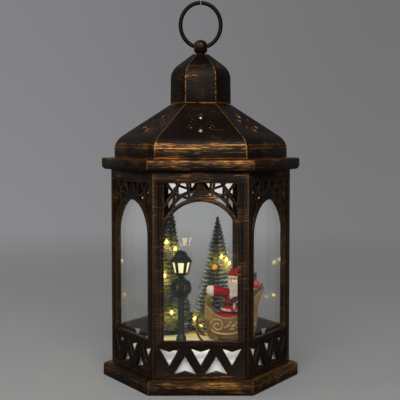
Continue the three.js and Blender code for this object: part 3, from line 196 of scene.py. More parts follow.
class Finish(Nodes):
    """A material that is built step by step."""

    def __init__(self, name):
        self.material = bpy.data.materials.new(name)
        self.material.use_nodes = True
        super().__init__(self.material.node_tree)
        self.tree.nodes.clear()
        self.end = self.add("ShaderNodeOutputMaterial")

    def place(self, stretch=(1, 1, 1), uv=None):
        """The spot on the piece in metres, or on one of its maps, stretched."""
        if uv:
            source = self.add("ShaderNodeUVMap", uv_map=uv).outputs["UV"]
        else:
            source = self.add("ShaderNodeTexCoord").outputs["Object"]
        return self.add("ShaderNodeMapping", {"Vector": source, "Scale": stretch}).outputs["Vector"]

    def grain(self, where, scale=1.0, detail=2.0, roughness=0.5):
        sockets = {"Vector": where, "Scale": scale, "Detail": detail, "Roughness": roughness}
        return self.add("ShaderNodeTexNoise", sockets).outputs[0]

    def cells(self, where, scale):
        return self.add("ShaderNodeTexVoronoi", {"Vector": where, "Scale": scale}).outputs["Distance"]

    def mark(self, name):
        """A number that the piece carries at each corner."""
        return self.add("ShaderNodeAttribute", attribute_name=name).outputs["Fac"]

    def upward(self):
        """1 on faces that look up, -1 on faces that look down."""
        return self.parts(self.add("ShaderNodeNewGeometry").outputs["Normal"])["Z"]

    def shelter(self, reach, inside=False):
        sockets = {"Distance": reach}
        node = self.add("ShaderNodeAmbientOcclusion", sockets, inside=inside, only_local=True, samples=6)
        return self.math("SUBTRACT", 1.0, node.outputs["AO"])

    def edge_wear_and_highlight(self, reach):
        """Near 1 along outer edges, 0 on open faces; it places worn gold on the bronze and a painted
        highlight on the gold paint.
        """
        return self.shelter(reach, inside=True)

    def hollows(self, reach):
        """Near 1 in creases and recesses, 0 on open faces."""
        return self.shelter(reach)

    def surface(self, colour, roughness, height=None, depth=0.0, **sockets):
        """A plain shader; the sockets' names have underscores for spaces, and depth is in millimetres."""
        named = {"Base Color": rgba(colour), "Roughness": roughness}
        named.update({key.replace("_", " "): value for key, value in sockets.items()})
        if height is not None:
            bump = self.add("ShaderNodeBump", {"Height": height, "Distance": depth * MM, "Strength": 1.0})
            named["Normal"] = bump.outputs[0]
        return self.done(self.add("ShaderNodeBsdfPrincipled", named).outputs[0])

    def done(self, shader):
        """Ends the material in a shader."""
        self.plug(shader, self.end.inputs["Surface"])
        return self.material


class Recipe(Nodes):
    """A geometry node tree with named inputs, which is used through a modifier.

    An input that is given as None takes a material.
    """

    KINDS = {float: "NodeSocketFloat", int: "NodeSocketInt", type(None): "NodeSocketMaterial"}

    def __init__(self, name, **sizes):
        super().__init__(bpy.data.node_groups.new(name, "GeometryNodeTree"))
        face = self.tree.interface
        face.new_socket(name="Geometry", in_out="INPUT", socket_type="NodeSocketGeometry")
        face.new_socket(name="Geometry", in_out="OUTPUT", socket_type="NodeSocketGeometry")
        self.sizes = sizes
        for label, value in sizes.items():
            face.new_socket(name=label, in_out="INPUT", socket_type=self.KINDS[type(value)])
        self.source = self.add("NodeGroupInput")
        self.end = self.add("NodeGroupOutput")

    def size(self, label):
        """One of the recipe's named inputs."""
        return self.source.outputs[label]

    def random(self, low, high, step=0):
        """A random number for each point; another step gives other numbers from the same seed."""
        seed = self.math("ADD", self.size("Seed"), step) if step else self.size("Seed")
        node = self.add("FunctionNodeRandomValue", {2: low, 3: high, "Seed": seed}, data_type="FLOAT")
        return node.outputs[1]

    def position(self):
        return self.parts(self.add("GeometryNodeInputPosition").outputs[0])

    def ball(self, radius, fineness):
        return self.add("GeometryNodeMeshIcoSphere", {"Radius": radius, "Subdivisions": fineness}).outputs[0]

    def thorn(self, foot, tip, segments):
        """A three-sided point, one metre long, which its place then draws to length."""
        return self.add("GeometryNodeMeshCone", {
            "Vertices": 3, "Side Segments": segments, "Radius Bottom": foot, "Radius Top": tip, "Depth": 1.0,
        }, fill_type="NGON").outputs[0]

    def pointing(self, aim):
        return self.add("FunctionNodeAlignRotationToVector", {"Vector": aim}, axis="Z").outputs[0]

    def copies(self, points, form, turned, length):
        """A form on each point, turned and drawn to its length."""
        return self.add("GeometryNodeInstanceOnPoints", {
            "Points": points, "Instance": form, "Rotation": turned, "Scale": self.vector(1.0, 1.0, length),
        }).outputs[0]

    def marked(self, geometry, name, value):
        """Stores a number at each point."""
        sockets = {"Geometry": geometry, "Name": name, "Value": value}
        node = self.add("GeometryNodeStoreNamedAttribute", sockets, data_type="FLOAT", domain="POINT")
        return node.outputs[0]

    def painted(self, geometry, material):
        """Gives geometry a material."""
        return self.add("GeometryNodeSetMaterial", {"Geometry": geometry, "Material": material}).outputs[0]

    def joined(self, *geometries):
        node = self.add("GeometryNodeJoinGeometry")
        for geometry in geometries:
            self.plug(geometry, node.inputs[0])
        return node.outputs[0]

    def finished(self, geometry):
        """Ends the recipe in geometry that is made real."""
        realized = self.add("GeometryNodeRealizeInstances", {0: geometry})
        self.plug(realized.outputs[0], self.end.inputs[0])

    def applied(self, piece, **sizes):
        """Runs the recipe on a piece and leaves a plain mesh."""
        modifier = piece.modifiers.new(self.tree.name, "NODES")
        modifier.node_group = self.tree
        values = {**self.sizes, **sizes}
        for item in self.tree.interface.items_tree:
            if item.in_out == "INPUT" and item.name in values:
                modifier[item.identifier] = values[item.name]
        return settled(piece)


# Meshes and pieces

def linked_piece(name, mesh):
    """An object in the scene with a mesh of its own."""
    piece = bpy.data.objects.new(name, mesh)
    bpy.context.scene.collection.objects.link(piece)
    return piece


def new_piece(name, shape, *materials):
    """An object whose mesh is the shape, which is used up."""
    mesh = bpy.data.meshes.new(name)
    shape.to_mesh(mesh)
    shape.free()
    for material in materials:
        mesh.materials.append(material)
    return linked_piece(name, mesh)


def joined_pieces(*pieces):
    """One shape of several pieces, which are removed."""
    shape = bmesh.new()
    for piece in pieces:
        shape.from_mesh(piece.data)
        bpy.data.objects.remove(piece)
    return shape


def settled(piece):
    """Applies a piece's modifiers and leaves a plain mesh."""
    graph = bpy.context.evaluated_depsgraph_get()
    mesh = bpy.data.meshes.new_from_object(piece.evaluated_get(graph))
    piece.modifiers.clear()
    piece.data = mesh
    return piece


def in_metres(shape, at=(0, 0, 0)):
    """Turns a shape in millimetres into metres and moves it to its place."""
    bmesh.ops.scale(shape, vec=(MM, MM, MM), verts=shape.verts)
    bmesh.ops.translate(shape, vec=Vector(at) * MM, verts=shape.verts)
    return shape


def smooth_faces(piece, angle=30):
    """Shades a piece smooth, apart from edges that are sharper than the angle."""
    piece.data.shade_smooth()
    piece.data.set_sharp_from_angle(angle=math.radians(angle))
    return piece


def hand_over(piece, slot, *nodes, body="housing"):
    """Hides the nodes that a finished piece stands for and gives the piece its body. The slot is not used."""
    if nodes:
        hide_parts(*nodes)
    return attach(piece, body)


def completed(name, shape, material, slot, *nodes, at=(0, 0, 0), smooth=30, body="housing"):
    """Makes a shape in millimetres a smooth finished piece and hands it over."""
    piece = smooth_faces(new_piece(name, in_metres(shape, at), material), smooth)
    return hand_over(piece, slot, *nodes, body=body)


def paint(node, material):
    """Gives a CAD node its finish; its mesh stays as it is."""
    materials = cad[node].data.materials
    materials.clear()
    materials.append(material)


def middle_of(node):
    """The middle of a node's box, in millimetres."""
    low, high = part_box(node)
    return (low + high) / 2 / MM


def merged_copy(node):
    """A copy of a node's mesh whose corners are joined and flat faces are whole."""
    shape = bmesh.new()
    mesh = cad[node].data
    corners = [shape.verts.new(v.co) for v in mesh.vertices]
    for face in mesh.polygons:
        shape.faces.new([corners[i] for i in face.vertices])
    bmesh.ops.remove_doubles(shape, verts=shape.verts, dist=0.005 * MM)
    bmesh.ops.dissolve_limit(shape, angle_limit=FLAT, verts=shape.verts, edges=shape.edges)
    return shape


def bevelled(piece, width, segments=2, angle=28):
    """Rounds the edges that are sharper than the angle."""
    modifier = piece.modifiers.new("Edges", "BEVEL")
    modifier.width = width
    modifier.segments = segments
    modifier.limit_method = "ANGLE"
    modifier.angle_limit = math.radians(angle)
    modifier.use_clamp_overlap = True
    return settled(piece)


def carved(piece, cutter):
    """Cuts one closed piece by another, which is then removed."""
    modifier = piece.modifiers.new("Cut", "BOOLEAN")
    modifier.operation = "DIFFERENCE"
    modifier.object = cutter
    modifier.solver = "EXACT"
    settled(piece)
    bpy.data.objects.remove(cutter)
    return piece


def modelled(piece, voxel, rounds=4):
    """Melts a piece's overlapping forms into one smooth skin, as if modelled in clay."""
    melt = piece.modifiers.new("Melt", "REMESH")
    melt.mode = "VOXEL"
    melt.voxel_size = voxel * MM
    melt.use_smooth_shade = True
    soften = piece.modifiers.new("Soften", "SMOOTH")
    soften.factor = 0.5
    soften.iterations = rounds
    return settled(piece)


def ruffled(piece, depth, stretch):
    """Raises and lowers a piece's surface by soft noise; depth is in millimetres."""
    mesh = piece.data
    moves = []
    for v in mesh.vertices:
        p = v.co / MM
        spot = Vector((p.x * stretch[0], p.y * stretch[1], p.z * stretch[2]))
        moves.append(v.normal * noise.fractal(spot, 1.0, 2.0, 3) * depth * MM)
    for v, move in zip(mesh.vertices, moves):
        v.co += move
    mesh.update()
    return piece


def angles(count):
    """Even steps once round a circle."""
    return [TURN * k / count for k in range(count)]


def oval(centre, across, deep, count=40):
    """Points once round a level oval."""
    x, y, z = centre
    return [(x + across * math.cos(a), y + deep * math.sin(a), z) for a in angles(count)]


def add_ball(shape, centre, radii, across=20, up=14, turn=None):
    """A round form with three radii, which may be turned before it is put in its place."""
    made = bmesh.ops.create_uvsphere(shape, u_segments=across, v_segments=up, radius=1)["verts"]
    bmesh.ops.scale(shape, vec=radii, verts=made)
    if turn is not None:
        bmesh.ops.rotate(shape, cent=(0, 0, 0), matrix=turn, verts=made)
    bmesh.ops.translate(shape, vec=centre, verts=made)


def add_tube(shape, route, radius, sides=8, closed=False):
    """A round tube along a route of points; radius may be a list with one value a point."""
    points = [Vector(p) for p in route]
    count = len(points)
    radii = radius if isinstance(radius, (list, tuple)) else [radius] * count
    rings = []
    side = None
    for i, point in enumerate(points):
        after = points[(i + 1) % count] if closed else points[min(i + 1, count - 1)]
        before = points[i - 1] if closed else points[max(i - 1, 0)]
        along = (after - before).normalized()
        if side is None:
            side = along.orthogonal().normalized()
        side = (side - along * side.dot(along)).normalized()
        up = along.cross(side)
        reach = [side * math.cos(a) + up * math.sin(a) for a in angles(sides)]
        rings.append([shape.verts.new(point + arm * radii[i]) for arm in reach])
    pairs = list(zip(rings, rings[1:]))
    if closed:
        gap = min(range(sides), key=lambda k: (rings[0][k].co - rings[-1][0].co).length)
        pairs.append((rings[-1], rings[0][gap:] + rings[0][:gap]))
    for low, high in pairs:
        for k in range(sides):
            shape.faces.new((low[k], low[(k + 1) % sides], high[(k + 1) % sides], high[k]))
    if not closed:
        shape.faces.new(rings[0][::-1])
        shape.faces.new(rings[-1])


def add_turned(shape, profile, count=32, centre=(0, 0), wave=None):
    """A turned form; its profile of (radius, height) runs from the axis back to the axis, low to high.

    A wave gives the share of the radius at an angle and a height.
    """
    rings = []
    for radius, height in profile:
        if radius < 1e-6:
            rings.append([shape.verts.new((centre[0], centre[1], height))])
            continue
        ring = []
        for angle in angles(count):
            reach = radius * (wave(angle, height) if wave else 1)
            x = centre[0] + reach * math.cos(angle)
            ring.append(shape.verts.new((x, centre[1] + reach * math.sin(angle), height)))
        rings.append(ring)
    for low, high in zip(rings, rings[1:]):
        for k in range(count):
            corners = [low[k % len(low)], low[(k + 1) % len(low)],
                       high[(k + 1) % len(high)], high[k % len(high)]]
            unique = list(dict.fromkeys(corners))
            if len(unique) > 2:
                shape.faces.new(unique)
    return [v for ring in rings for v in ring]


def add_slab(shape, outline, low, high):
    """An outline of (across, up) given thickness from low to high along Y."""
    near = [shape.verts.new((a, low, b)) for a, b in outline]
    far = [shape.verts.new((a, high, b)) for a, b in outline]
    count = len(outline)
    shape.faces.new(near)
    shape.faces.new(far[::-1])
    for k in range(count):
        shape.faces.new((near[k], far[k], far[(k + 1) % count], near[(k + 1) % count]))
    bmesh.ops.recalc_face_normals(shape, faces=shape.faces)


def add_block(shape, low, high):
    """A box between two corners."""
    outline = [(low[0], low[2]), (high[0], low[2]), (high[0], high[2]), (low[0], high[2])]
    add_slab(shape, outline, low[1], high[1])


def curve_points(start, *handles, steps=12):
    """Points on joined cubic curves; each set of handles is two controls and an end."""
    points = [Vector(start)]
    for first, second, end in handles:
        a, b, c, d = points[-1].copy(), Vector(first), Vector(second), Vector(end)
        for i in range(1, steps + 1):
            t = i / steps
            points.append(a * (1 - t) ** 3 + b * 3 * t * (1 - t) ** 2 + c * 3 * t * t * (1 - t) + d * t ** 3)
    return points


# Finishes

SHARED = {}
LONG_STROKES = (55, 1250, 1)
FINE_STROKES = (160, 2500, 1)
STROKE_METAL = (1.0, 0.83, 0.68, 1)


def shared_finish(name, make, *values):
    """A finish that several pieces share, made by the first of them."""
    if name not in SHARED:
        SHARED[name] = make(name, *values)
    return SHARED[name]


def bronze_finish(name, look, gold=1.0, uv="Brush", rub=1.0, bands=(), hips=0.0, depth=1.0):
    """Dark bronze with gold dragged over it in level strokes and rubbed on its edges.

    Each band is a height, a half width and a gain: more gold has caught there. Hips is the gold
    along the corners between the six sides, and depth darkens or lightens the bronze under it.
    """
    finish = Finish(name)
    long_strokes = finish.grain(finish.place(LONG_STROKES, uv), 1, 3, 0.62)
    fine_strokes = finish.grain(finish.place(FINE_STROKES, uv), 1, 2, 0.6)
    patches = finish.grain(finish.place((1, 1, 1.6)), 42, 2, 0.5)
    strokes = finish.math("ADD", finish.math("MULTIPLY", long_strokes, 0.5),
                          finish.math("MULTIPLY", fine_strokes, 0.5))
    caught = finish.math("ADD", strokes, finish.math("MULTIPLY", patches, 0.42))
    height = finish.parts(finish.place())["Z"]
    for middle, reach, gain in bands:
        off = finish.math("ABSOLUTE", finish.math("SUBTRACT", height, middle * MM))
        caught = finish.math("ADD", caught, finish.smooth_step(off, reach * MM, 0.0, 0.0, gain))
    caught = finish.smooth_step(caught, 0.69, 1.0)
    thin = finish.math("MULTIPLY", caught, 0.8 * gold)
    edge = finish.smooth_step(finish.edge_wear_and_highlight(look.wear), 0.08, 0.34)
    speckle = finish.smooth_step(long_strokes, 0.36, 0.62, 0.15)
    rubbed = finish.math("MULTIPLY", edge, finish.math("MULTIPLY", speckle, rub))
    share = finish.math("MAXIMUM", thin, rubbed, clamp=True)
    if hips:
        share = finish.math("MAXIMUM", share, hip_line(finish, hips), clamp=True)
    share = finish.math("MULTIPLY", share, finish.smooth_step(finish.upward(), -0.8, -0.4))
    dark, brown = scaled(look.dark, depth), scaled(look.brown, depth)
    low = finish.blend(finish.smooth_step(share, 0.0, 0.4), dark, brown)
    colour = finish.blend(finish.smooth_step(share, 0.25, 0.95), low, look.gold)
    metal = finish.smooth_step(share, 0.05, 0.7, 0.3, 0.92)
    rough = finish.smooth_step(share, 0.0, 1.0, 0.46, 0.42)
    shine = finish.smooth_step(share, 0.0, 0.6, 0.2, 0.5)
    return finish.surface(colour, rough, fine_strokes, 0.1, Metallic=metal, Specular_IOR_Level=shine,
                          Specular_Tint=STROKE_METAL)


def hip_line(finish, strength):
    """Worn gold along the corners between the six sides."""
    spot = finish.parts(finish.place(uv="Hips"))
    off = finish.math("SUBTRACT", spot["Y"], finish.math("ABSOLUTE", spot["X"]))
    line = finish.smooth_step(off, 0.95 * MM, 0.3 * MM, 0.0, strength)
    worn = finish.smooth_step(finish.grain(finish.place(), 420, 2, 0.6), 0.34, 0.56, 0.3)
    return finish.math("MULTIPLY", line, worn)


def pane_finish(look):
    """Clear glass that lets the light through."""
    finish = Finish("clear_pane")
    glass = finish.add("ShaderNodeBsdfPrincipled", {
        "Base Color": rgba(look.pane), "Roughness": 0.0, "IOR": 1.42, "Transmission Weight": 1.0,
    })
    clear = finish.add("ShaderNodeBsdfTransparent")
    path = finish.add("ShaderNodeLightPath").outputs
    return finish.done(finish.either(path["Is Shadow Ray"], glass.outputs[0], clear.outputs[0]))


def plastic_finish(name, colour, roughness=0.5, grain=900, shine=0.5):
    """Moulded or painted plastic, a little uneven in shade and gloss."""
    finish = Finish(name)
    pits = finish.grain(finish.place(), grain, 3, 0.6)
    haze = finish.grain(finish.place(), 40, 2)
    shade = finish.blend(finish.smooth_step(haze, 0.3, 0.7), colour, tuple(c * 1.5 + 0.004 for c in colour))
    rough = finish.smooth_step(haze, 0.3, 0.7, roughness - 0.06, roughness + 0.08)
    return finish.surface(shade, rough, pits, 0.05, Specular_IOR_Level=shine)


def steel_finish(name, colour):
    """Drawn or plated metal with faint stains."""
    finish = Finish(name)
    drawn = finish.grain(finish.place((1, 8, 1)), 300, 3, 0.6)
    stain = finish.grain(finish.place(), 120, 2)
    shade = finish.blend(finish.smooth_step(stain, 0.45, 0.75), colour, scaled(colour, 0.6))
    return finish.surface(shade, finish.smooth_step(drawn, 0.3, 0.7, 0.22, 0.42), drawn, 0.02, Metallic=1.0)


def cloth_finish(name, colour, sheen=0.0, weave=1400, roughness=0.75, dark=0.55):
    """Painted cloth: painted shade in its creases, with a fine weave."""
    finish = Finish(name)
    threads = finish.grain(finish.place(), weave, 2, 0.5)
    # Painted shade: the creases are darkened to the dark share of the colour.
    painted_crease_shade = finish.smooth_step(finish.hollows(1.6 * MM), 0.15, 0.75)
    cloud = finish.grain(finish.place(), 160, 2)
    pale = tuple(min(1, c * 1.25) for c in colour)
    light = finish.blend(finish.smooth_step(cloud, 0.3, 0.75), colour, pale)
    shade = finish.blend(painted_crease_shade, light, scaled(colour, dark))
    return finish.surface(shade, roughness, threads, 0.09, Sheen_Weight=sheen, Specular_IOR_Level=0.1)


def fur_finish(name, colour):
    """Moulded fur: tufts with painted shade in the creases between them."""
    finish = Finish(name)
    tufts = finish.grain(finish.place(), 900, 4, 0.65)
    # Painted shade: the creases between the tufts are darkened.
    painted_crease_shade = finish.smooth_step(finish.hollows(1.2 * MM), 0.2, 0.8)
    shade = finish.blend(painted_crease_shade, colour, scaled(colour, 0.62))
    return finish.surface(shade, 0.85, tufts, 0.22, Sheen_Weight=0.05, Specular_IOR_Level=0.2)


def gold_finish(name, colour, low, high):
    """Gold paint with a painted highlight on its relief and painted shade, in brown, in its hollows; it is
    darker towards its foot.

    It grows lighter from the low height to the high one, which are in millimetres.
    """
    finish = Finish(name)
    cloud = finish.grain(finish.place(), 220, 3, 0.6)
    fine = finish.grain(finish.place(), 1300, 2)
    height = finish.parts(finish.place())["Z"]
    # Painted shade: the hollows are painted brown.
    painted_crease_shade = finish.smooth_step(finish.hollows(1.8 * MM), 0.1, 0.6)
    # Painted highlight: the relief is painted pale gold near its outer edges.
    raised = finish.smooth_step(finish.edge_wear_and_highlight(0.7 * MM), 0.2, 0.7)
    upper = finish.blend(finish.smooth_step(height, low * MM, high * MM), scaled(colour, 0.55), colour)
    base = finish.blend(finish.smooth_step(cloud, 0.35, 0.7), scaled(colour, 0.62), upper)
    crease_shaded = finish.blend(painted_crease_shade, base, tint(66, 44, 22))
    shade = finish.blend(finish.math("MULTIPLY", raised, 0.42), crease_shaded, tint(226, 198, 140))
    rough = finish.smooth_step(cloud, 0.3, 0.7, 0.36, 0.52)
    return finish.surface(shade, rough, fine, 0.05, Metallic=0.4, Specular_IOR_Level=0.3)


def lit_finish(name, seen, given, strength, middle, reach, mirrored=1.0):
    """Something lit from inside: it is seen in one colour and gives light of another.

    It is a little deeper away from its middle height. A mirror image of it has a share of its light.
    """
    finish = Finish(name)
    height = finish.parts(finish.place())["Z"]
    off = finish.math("ABSOLUTE", finish.math("SUBTRACT", height, middle))
    deep = tuple(a * b for a, b in zip(seen, (1.0, 0.86, 0.56)))
    face = finish.blend(finish.smooth_step(off, reach * 0.3, reach), seen, deep)
    shown = finish.add("ShaderNodeEmission", {"Color": face, "Strength": 1.0}).outputs[0]
    path = finish.add("ShaderNodeLightPath").outputs
    power = finish.math("MULTIPLY_ADD", path["Is Glossy Ray"], strength * (mirrored - 1), strength)
    cast = finish.add("ShaderNodeEmission", {"Color": rgba(given), "Strength": power}).outputs[0]
    behind_glass = finish.either(path["Is Transmission Ray"], cast, shown)
    finish.material.cycles.emission_sampling = "FRONT"
    return finish.done(finish.either(path["Is Camera Ray"], behind_glass, shown))


def resin_finish(name, colour):
    """A clear drop of resin that glows a little round its light."""
    finish = Finish(name)
    tone = finish.blend(finish.grain(finish.place(), 900, 2), colour, scaled(colour, 0.8))
    resin = finish.add("ShaderNodeBsdfPrincipled", {
        "Base Color": tone, "Roughness": 0.15, "Emission Color": rgba(colour), "Emission Strength": 3.6,
    })
    clear = finish.add("ShaderNodeBsdfTransparent")
    return finish.done(finish.either(0.56, resin.outputs[0], clear.outputs[0]))


def snow_finish():
    """Flocked snow with tiny bright grains, painted shade in its hollows and a painted glow near the lights.
    """
    finish = Finish("snow_flock")
    flock = finish.grain(finish.place(), 1500, 3, 0.7)
    lumps = finish.grain(finish.place(), 260, 3, 0.6)
    height = finish.math("ADD", flock, lumps)
    glint = finish.smooth_step(finish.cells(finish.place(), 1600), 0.16, 0.1)
    # Painted shade: the snow turns bluish grey in its hollows.
    hollow_shade = finish.smooth_step(finish.hollows(2.5 * MM), 0.1, 0.8)
    shade = finish.blend(hollow_shade, tint(246, 247, 246), tint(206, 212, 220))
    # Painted light: patches of the snow near a light are painted yellow, as if lit by it.
    patch = finish.smooth_step(lumps, 0.35, 0.65, 0.75)
    shade = finish.blend(finish.math("MULTIPLY", finish.mark("warmth"), patch), shade, tint(250, 222, 80))
    return finish.surface(shade, finish.smooth_step(glint, 0.0, 1.0, 0.9, 0.25), height, 0.3)


def bristle_finish(name, look, frost):
    """Bristles, green at the root, with snow on their upper sides and a painted glow near the lights."""
    finish = Finish(name)
    along = finish.mark("along")
    clumps = finish.grain(finish.place(), 420, 3, 0.6)
    upper = finish.smooth_step(finish.upward(), -0.35, 0.25)
    outer = finish.math("MULTIPLY", finish.smooth_step(along, 0.1, 0.4), finish.smooth_step(along, 1.0, 0.9))
    caught = finish.smooth_step(clumps, 0.62 - 0.36 * frost, 0.72 - 0.26 * frost)
    share = finish.math("MULTIPLY", finish.math("MULTIPLY", upper, outer), caught)
    held = finish.math("MULTIPLY_ADD", finish.mark("stray"), -0.8 * frost, frost)
    share = finish.math("MULTIPLY", share, held)
    # Painted light: near a light the bristles are painted yellow-green, and pale yellow right next to it, as
    # if lit by it.
    warmth = finish.mark("warmth")
    sparks = finish.grain(finish.place(), 400, 2, 0.6)
    painted_bead_glow = finish.math("MULTIPLY", finish.smooth_step(warmth, 0.02, 0.65),
                         finish.smooth_step(sparks, 0.5, 0.55, 0.02))
    hottest_painted_glow = finish.math("MULTIPLY", finish.smooth_step(warmth, 0.56, 0.9),
                          finish.smooth_step(sparks, 0.42, 0.5, 0.2))
    hue = finish.smooth_step(finish.grain(finish.place(), 150, 2), 0.3, 0.7)
    shade = finish.blend(hue, scaled(look.needle, 0.7), tuple(min(1, c * 1.6) for c in look.needle))
    colour = finish.blend(share, shade, look.frost)
    colour = finish.blend(painted_bead_glow, colour, look.painted_bead_glow)
    colour = finish.blend(hottest_painted_glow, colour, tint(255, 248, 170))
    return finish.surface(colour, finish.smooth_step(share, 0.0, 1.0, 0.55, 0.85), Specular_IOR_Level=0.3)


# Housing

SIDE_NAMES = ("front", "front_right", "back_right", "back", "back_left", "front_left")
ARCH = {"radii": (27.45, 29.85, 30.55), "drop": 49.2, "shortest": 1.2}


def brush_map(piece):
    """Lays strokes level round the six sides and maps how far in from its corners each side is."""
    mesh = piece.data
    for name in ("Brush", "Hips"):
        mesh.uv_layers.new(name=name)
    layer, hips = mesh.uv_layers["Brush"], mesh.uv_layers["Hips"]
    for face in mesh.polygons:
        level = Vector(face.normal[:2])
        facing = level if level.length > 0.3 else Vector(face.center[:2])
        side = round(math.atan2(facing.x, -facing.y) / SIDE) if facing.length > 1e-6 else 0
        cosine, sine = math.cos(side * SIDE), math.sin(side * SIDE)
        for loop in face.loop_indices:
            x, y, z = mesh.vertices[mesh.loops[loop].vertex_index].co
            across = x * cosine + y * sine
            out = x * sine - y * cosine
            layer.data[loop].uv = (across + 0.137 * side, z - 0.7 * out)
            hips.data[loop].uv = (across, out * math.tan(SIDE / 2))
    return piece


def round_arches(shape, spring, parts=3):
    """Adds corners along the arches of the front wall, so that they look round."""
    def on_arch(v):
        x, z = v.co.x / MM, v.co.z / MM - spring
        reach = math.hypot(x, z)
        near = [r for r in ARCH["radii"] if abs(reach - r) < 0.25]
        return near[0] if near and z > -0.05 else None
    chords = []
    for edge in shape.edges:
        a, b = edge.verts
        radius = on_arch(a)
        level = abs(a.co.y - b.co.y) < 0.01 * MM
        if radius and on_arch(b) == radius and level and edge.calc_length() > ARCH["shortest"] * MM:
            chords.append((edge, radius))
    added = []
    for edge, radius in chords:
        a, b = edge.verts
        turn = [math.atan2(v.co.x, v.co.z - spring * MM) for v in (a, b)]
        here = a
        for k in range(1, parts):
            share = 1 / (parts - k + 1)
            new_edge, corner = bmesh.utils.edge_split(edge, here, share)
            angle = turn[0] + (turn[1] - turn[0]) * k / parts
            corner.co.x = radius * MM * math.sin(angle)
            corner.co.z = spring * MM + radius * MM * math.cos(angle)
            added.append((corner, radius, round(angle, 4)))
            edge = new_edge if b in new_edge.verts else edge
            here = corner
    by_spot = {}
    for corner, radius, angle in added:
        by_spot.setdefault((radius, angle), []).append(corner)
    for corners in by_spot.values():
        for i, first in enumerate(corners):
            for second in corners[i + 1:]:
                shared = [f for f in first.link_faces if second in f.verts]
                soffit = [f for f in shared if abs(f.normal.y) < 0.5]
                if soffit:
                    bmesh.utils.face_split(soffit[0], first, second)


def dress(node, material, edge, angle=28):
    """A CAD form with rounded edges and level brush strokes."""
    piece = new_piece(node + "_finish", merged_copy(node), material)
    bevelled(piece, edge, angle=angle)
    brush_map(smooth_faces(piece))
    return hand_over(piece, "housing", node)


def dress_walls(look, material):
    """Models the front wall and turns copies of it to the other five sides."""
    shape = merged_copy("panel_front")
    round_arches(shape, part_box("panel_front")[1].z / MM - ARCH["drop"])
    first = new_piece("panel_front_finish", shape, material)
    bevelled(first, look.edge)
    walls = [smooth_faces(first)]
    for i, place in enumerate(SIDE_NAMES[1:], 1):
        mesh = first.data.copy()
        mesh.transform(Matrix.Rotation(i * SIDE, 4, "Z"))
        walls.append(linked_piece(f"panel_{place}_finish", mesh))
    for place, wall in zip(SIDE_NAMES, walls):
        hand_over(brush_map(wall), "housing", f"panel_{place}")


def make_housing():
    look = bpy.context.scene.lantern_housing
    wall = bronze_finish("brushed_bronze", look, rub=0.45, bands=((27, 14, -0.1),))
    dress_walls(look, wall)
    rim = bronze_finish("brushed_bronze_rims", look, gold=1.05, rub=0.8, hips=0.5,
                        bands=((8, 8, 0.05), (6.5, 3, 0.05), (13.2, 0.9, 0.16), (176, 8, 0.1)))
    dress("base_plinth", rim, look.edge)
    dress("cornice", rim, look.edge)
    tent = bronze_finish("brushed_bronze_roof", look, gold=0.95, rub=0.3, hips=0.7,
                         bands=((202, 16, -0.06), (185, 5, 0.08), (186.2, 0.9, 0.08), (183.4, 0.8, 0.08),
                                (181, 0.7, 0.05), (176.2, 0.8, 0.14)))
    dress("roof_shell", tent, look.edge, angle=26)
    # Painted shade: depth 0.62 makes the cupola's bronze a darker copy, for its shaded sides.
    dome = bronze_finish("brushed_bronze_cupola", look, gold=0.85, rub=0.5, hips=0.6, depth=0.62,
                         bands=((234, 14, -0.03), (247, 3, 0.08), (218.4, 0.8, 0.3)))
    dress("cupola", dome, look.edge, angle=24)


def make_panes():
    glass = pane_finish(bpy.context.scene.lantern_housing)
    for node in cad:
        if node.startswith("pane_"):
            paint(node, glass)


# Ball and ring

RING = {"half_width": 15.9, "half_height": 17.5, "wire": 1.6, "split": 0.3}
BALL_RADIUS = 6.0
BORE = {"half_length": 7, "clearance": 0.3, "steps": 12}


def ring_point(angle, centre):
    """A point of the ring's middle line; the angle runs once round from the ball."""
    x = RING["half_width"] * math.sin(angle)
    return (x, 0, centre + RING["half_height"] * (1 + math.cos(angle)))


def make_ring(look, centre):
    """The carrying ring: one round bar whose ends meet inside the ball."""
    start = RING["split"] / RING["half_width"]
    turns = [start + t / 120 * 2 * (math.pi - start) for t in range(121)]
    shape = bmesh.new()
    add_tube(shape, [ring_point(a, centre) for a in turns], RING["wire"], 16)
    dark = bronze_finish("ring_bronze", look, gold=0.12, uv=None, rub=0.0, depth=0.5)
    completed("ring_handle_finish", shape, dark, "carrying_ring", "ring_handle", body="ring")


def ball_bore(centre):
    """The bore through the ball, wider towards its ends to let the curved ring through."""
    route = []
    radii = []
    for i in range(-BORE["steps"], BORE["steps"] + 1):
        x = BORE["half_length"] * i / BORE["steps"]
        rise = RING["half_height"] * (1 - math.sqrt(1 - (x / RING["half_width"]) ** 2))
        route.append((x, 0, centre))
        radii.append(RING["wire"] + BORE["clearance"] + rise)
    shape = bmesh.new()
    add_tube(shape, route, radii, 24)
    return new_piece("bore", in_metres(shape))


def zinc_finish():
    """The plated metal that the nut, the screws and the contacts share."""
    return shared_finish("zinc", steel_finish, tint(190, 190, 186))


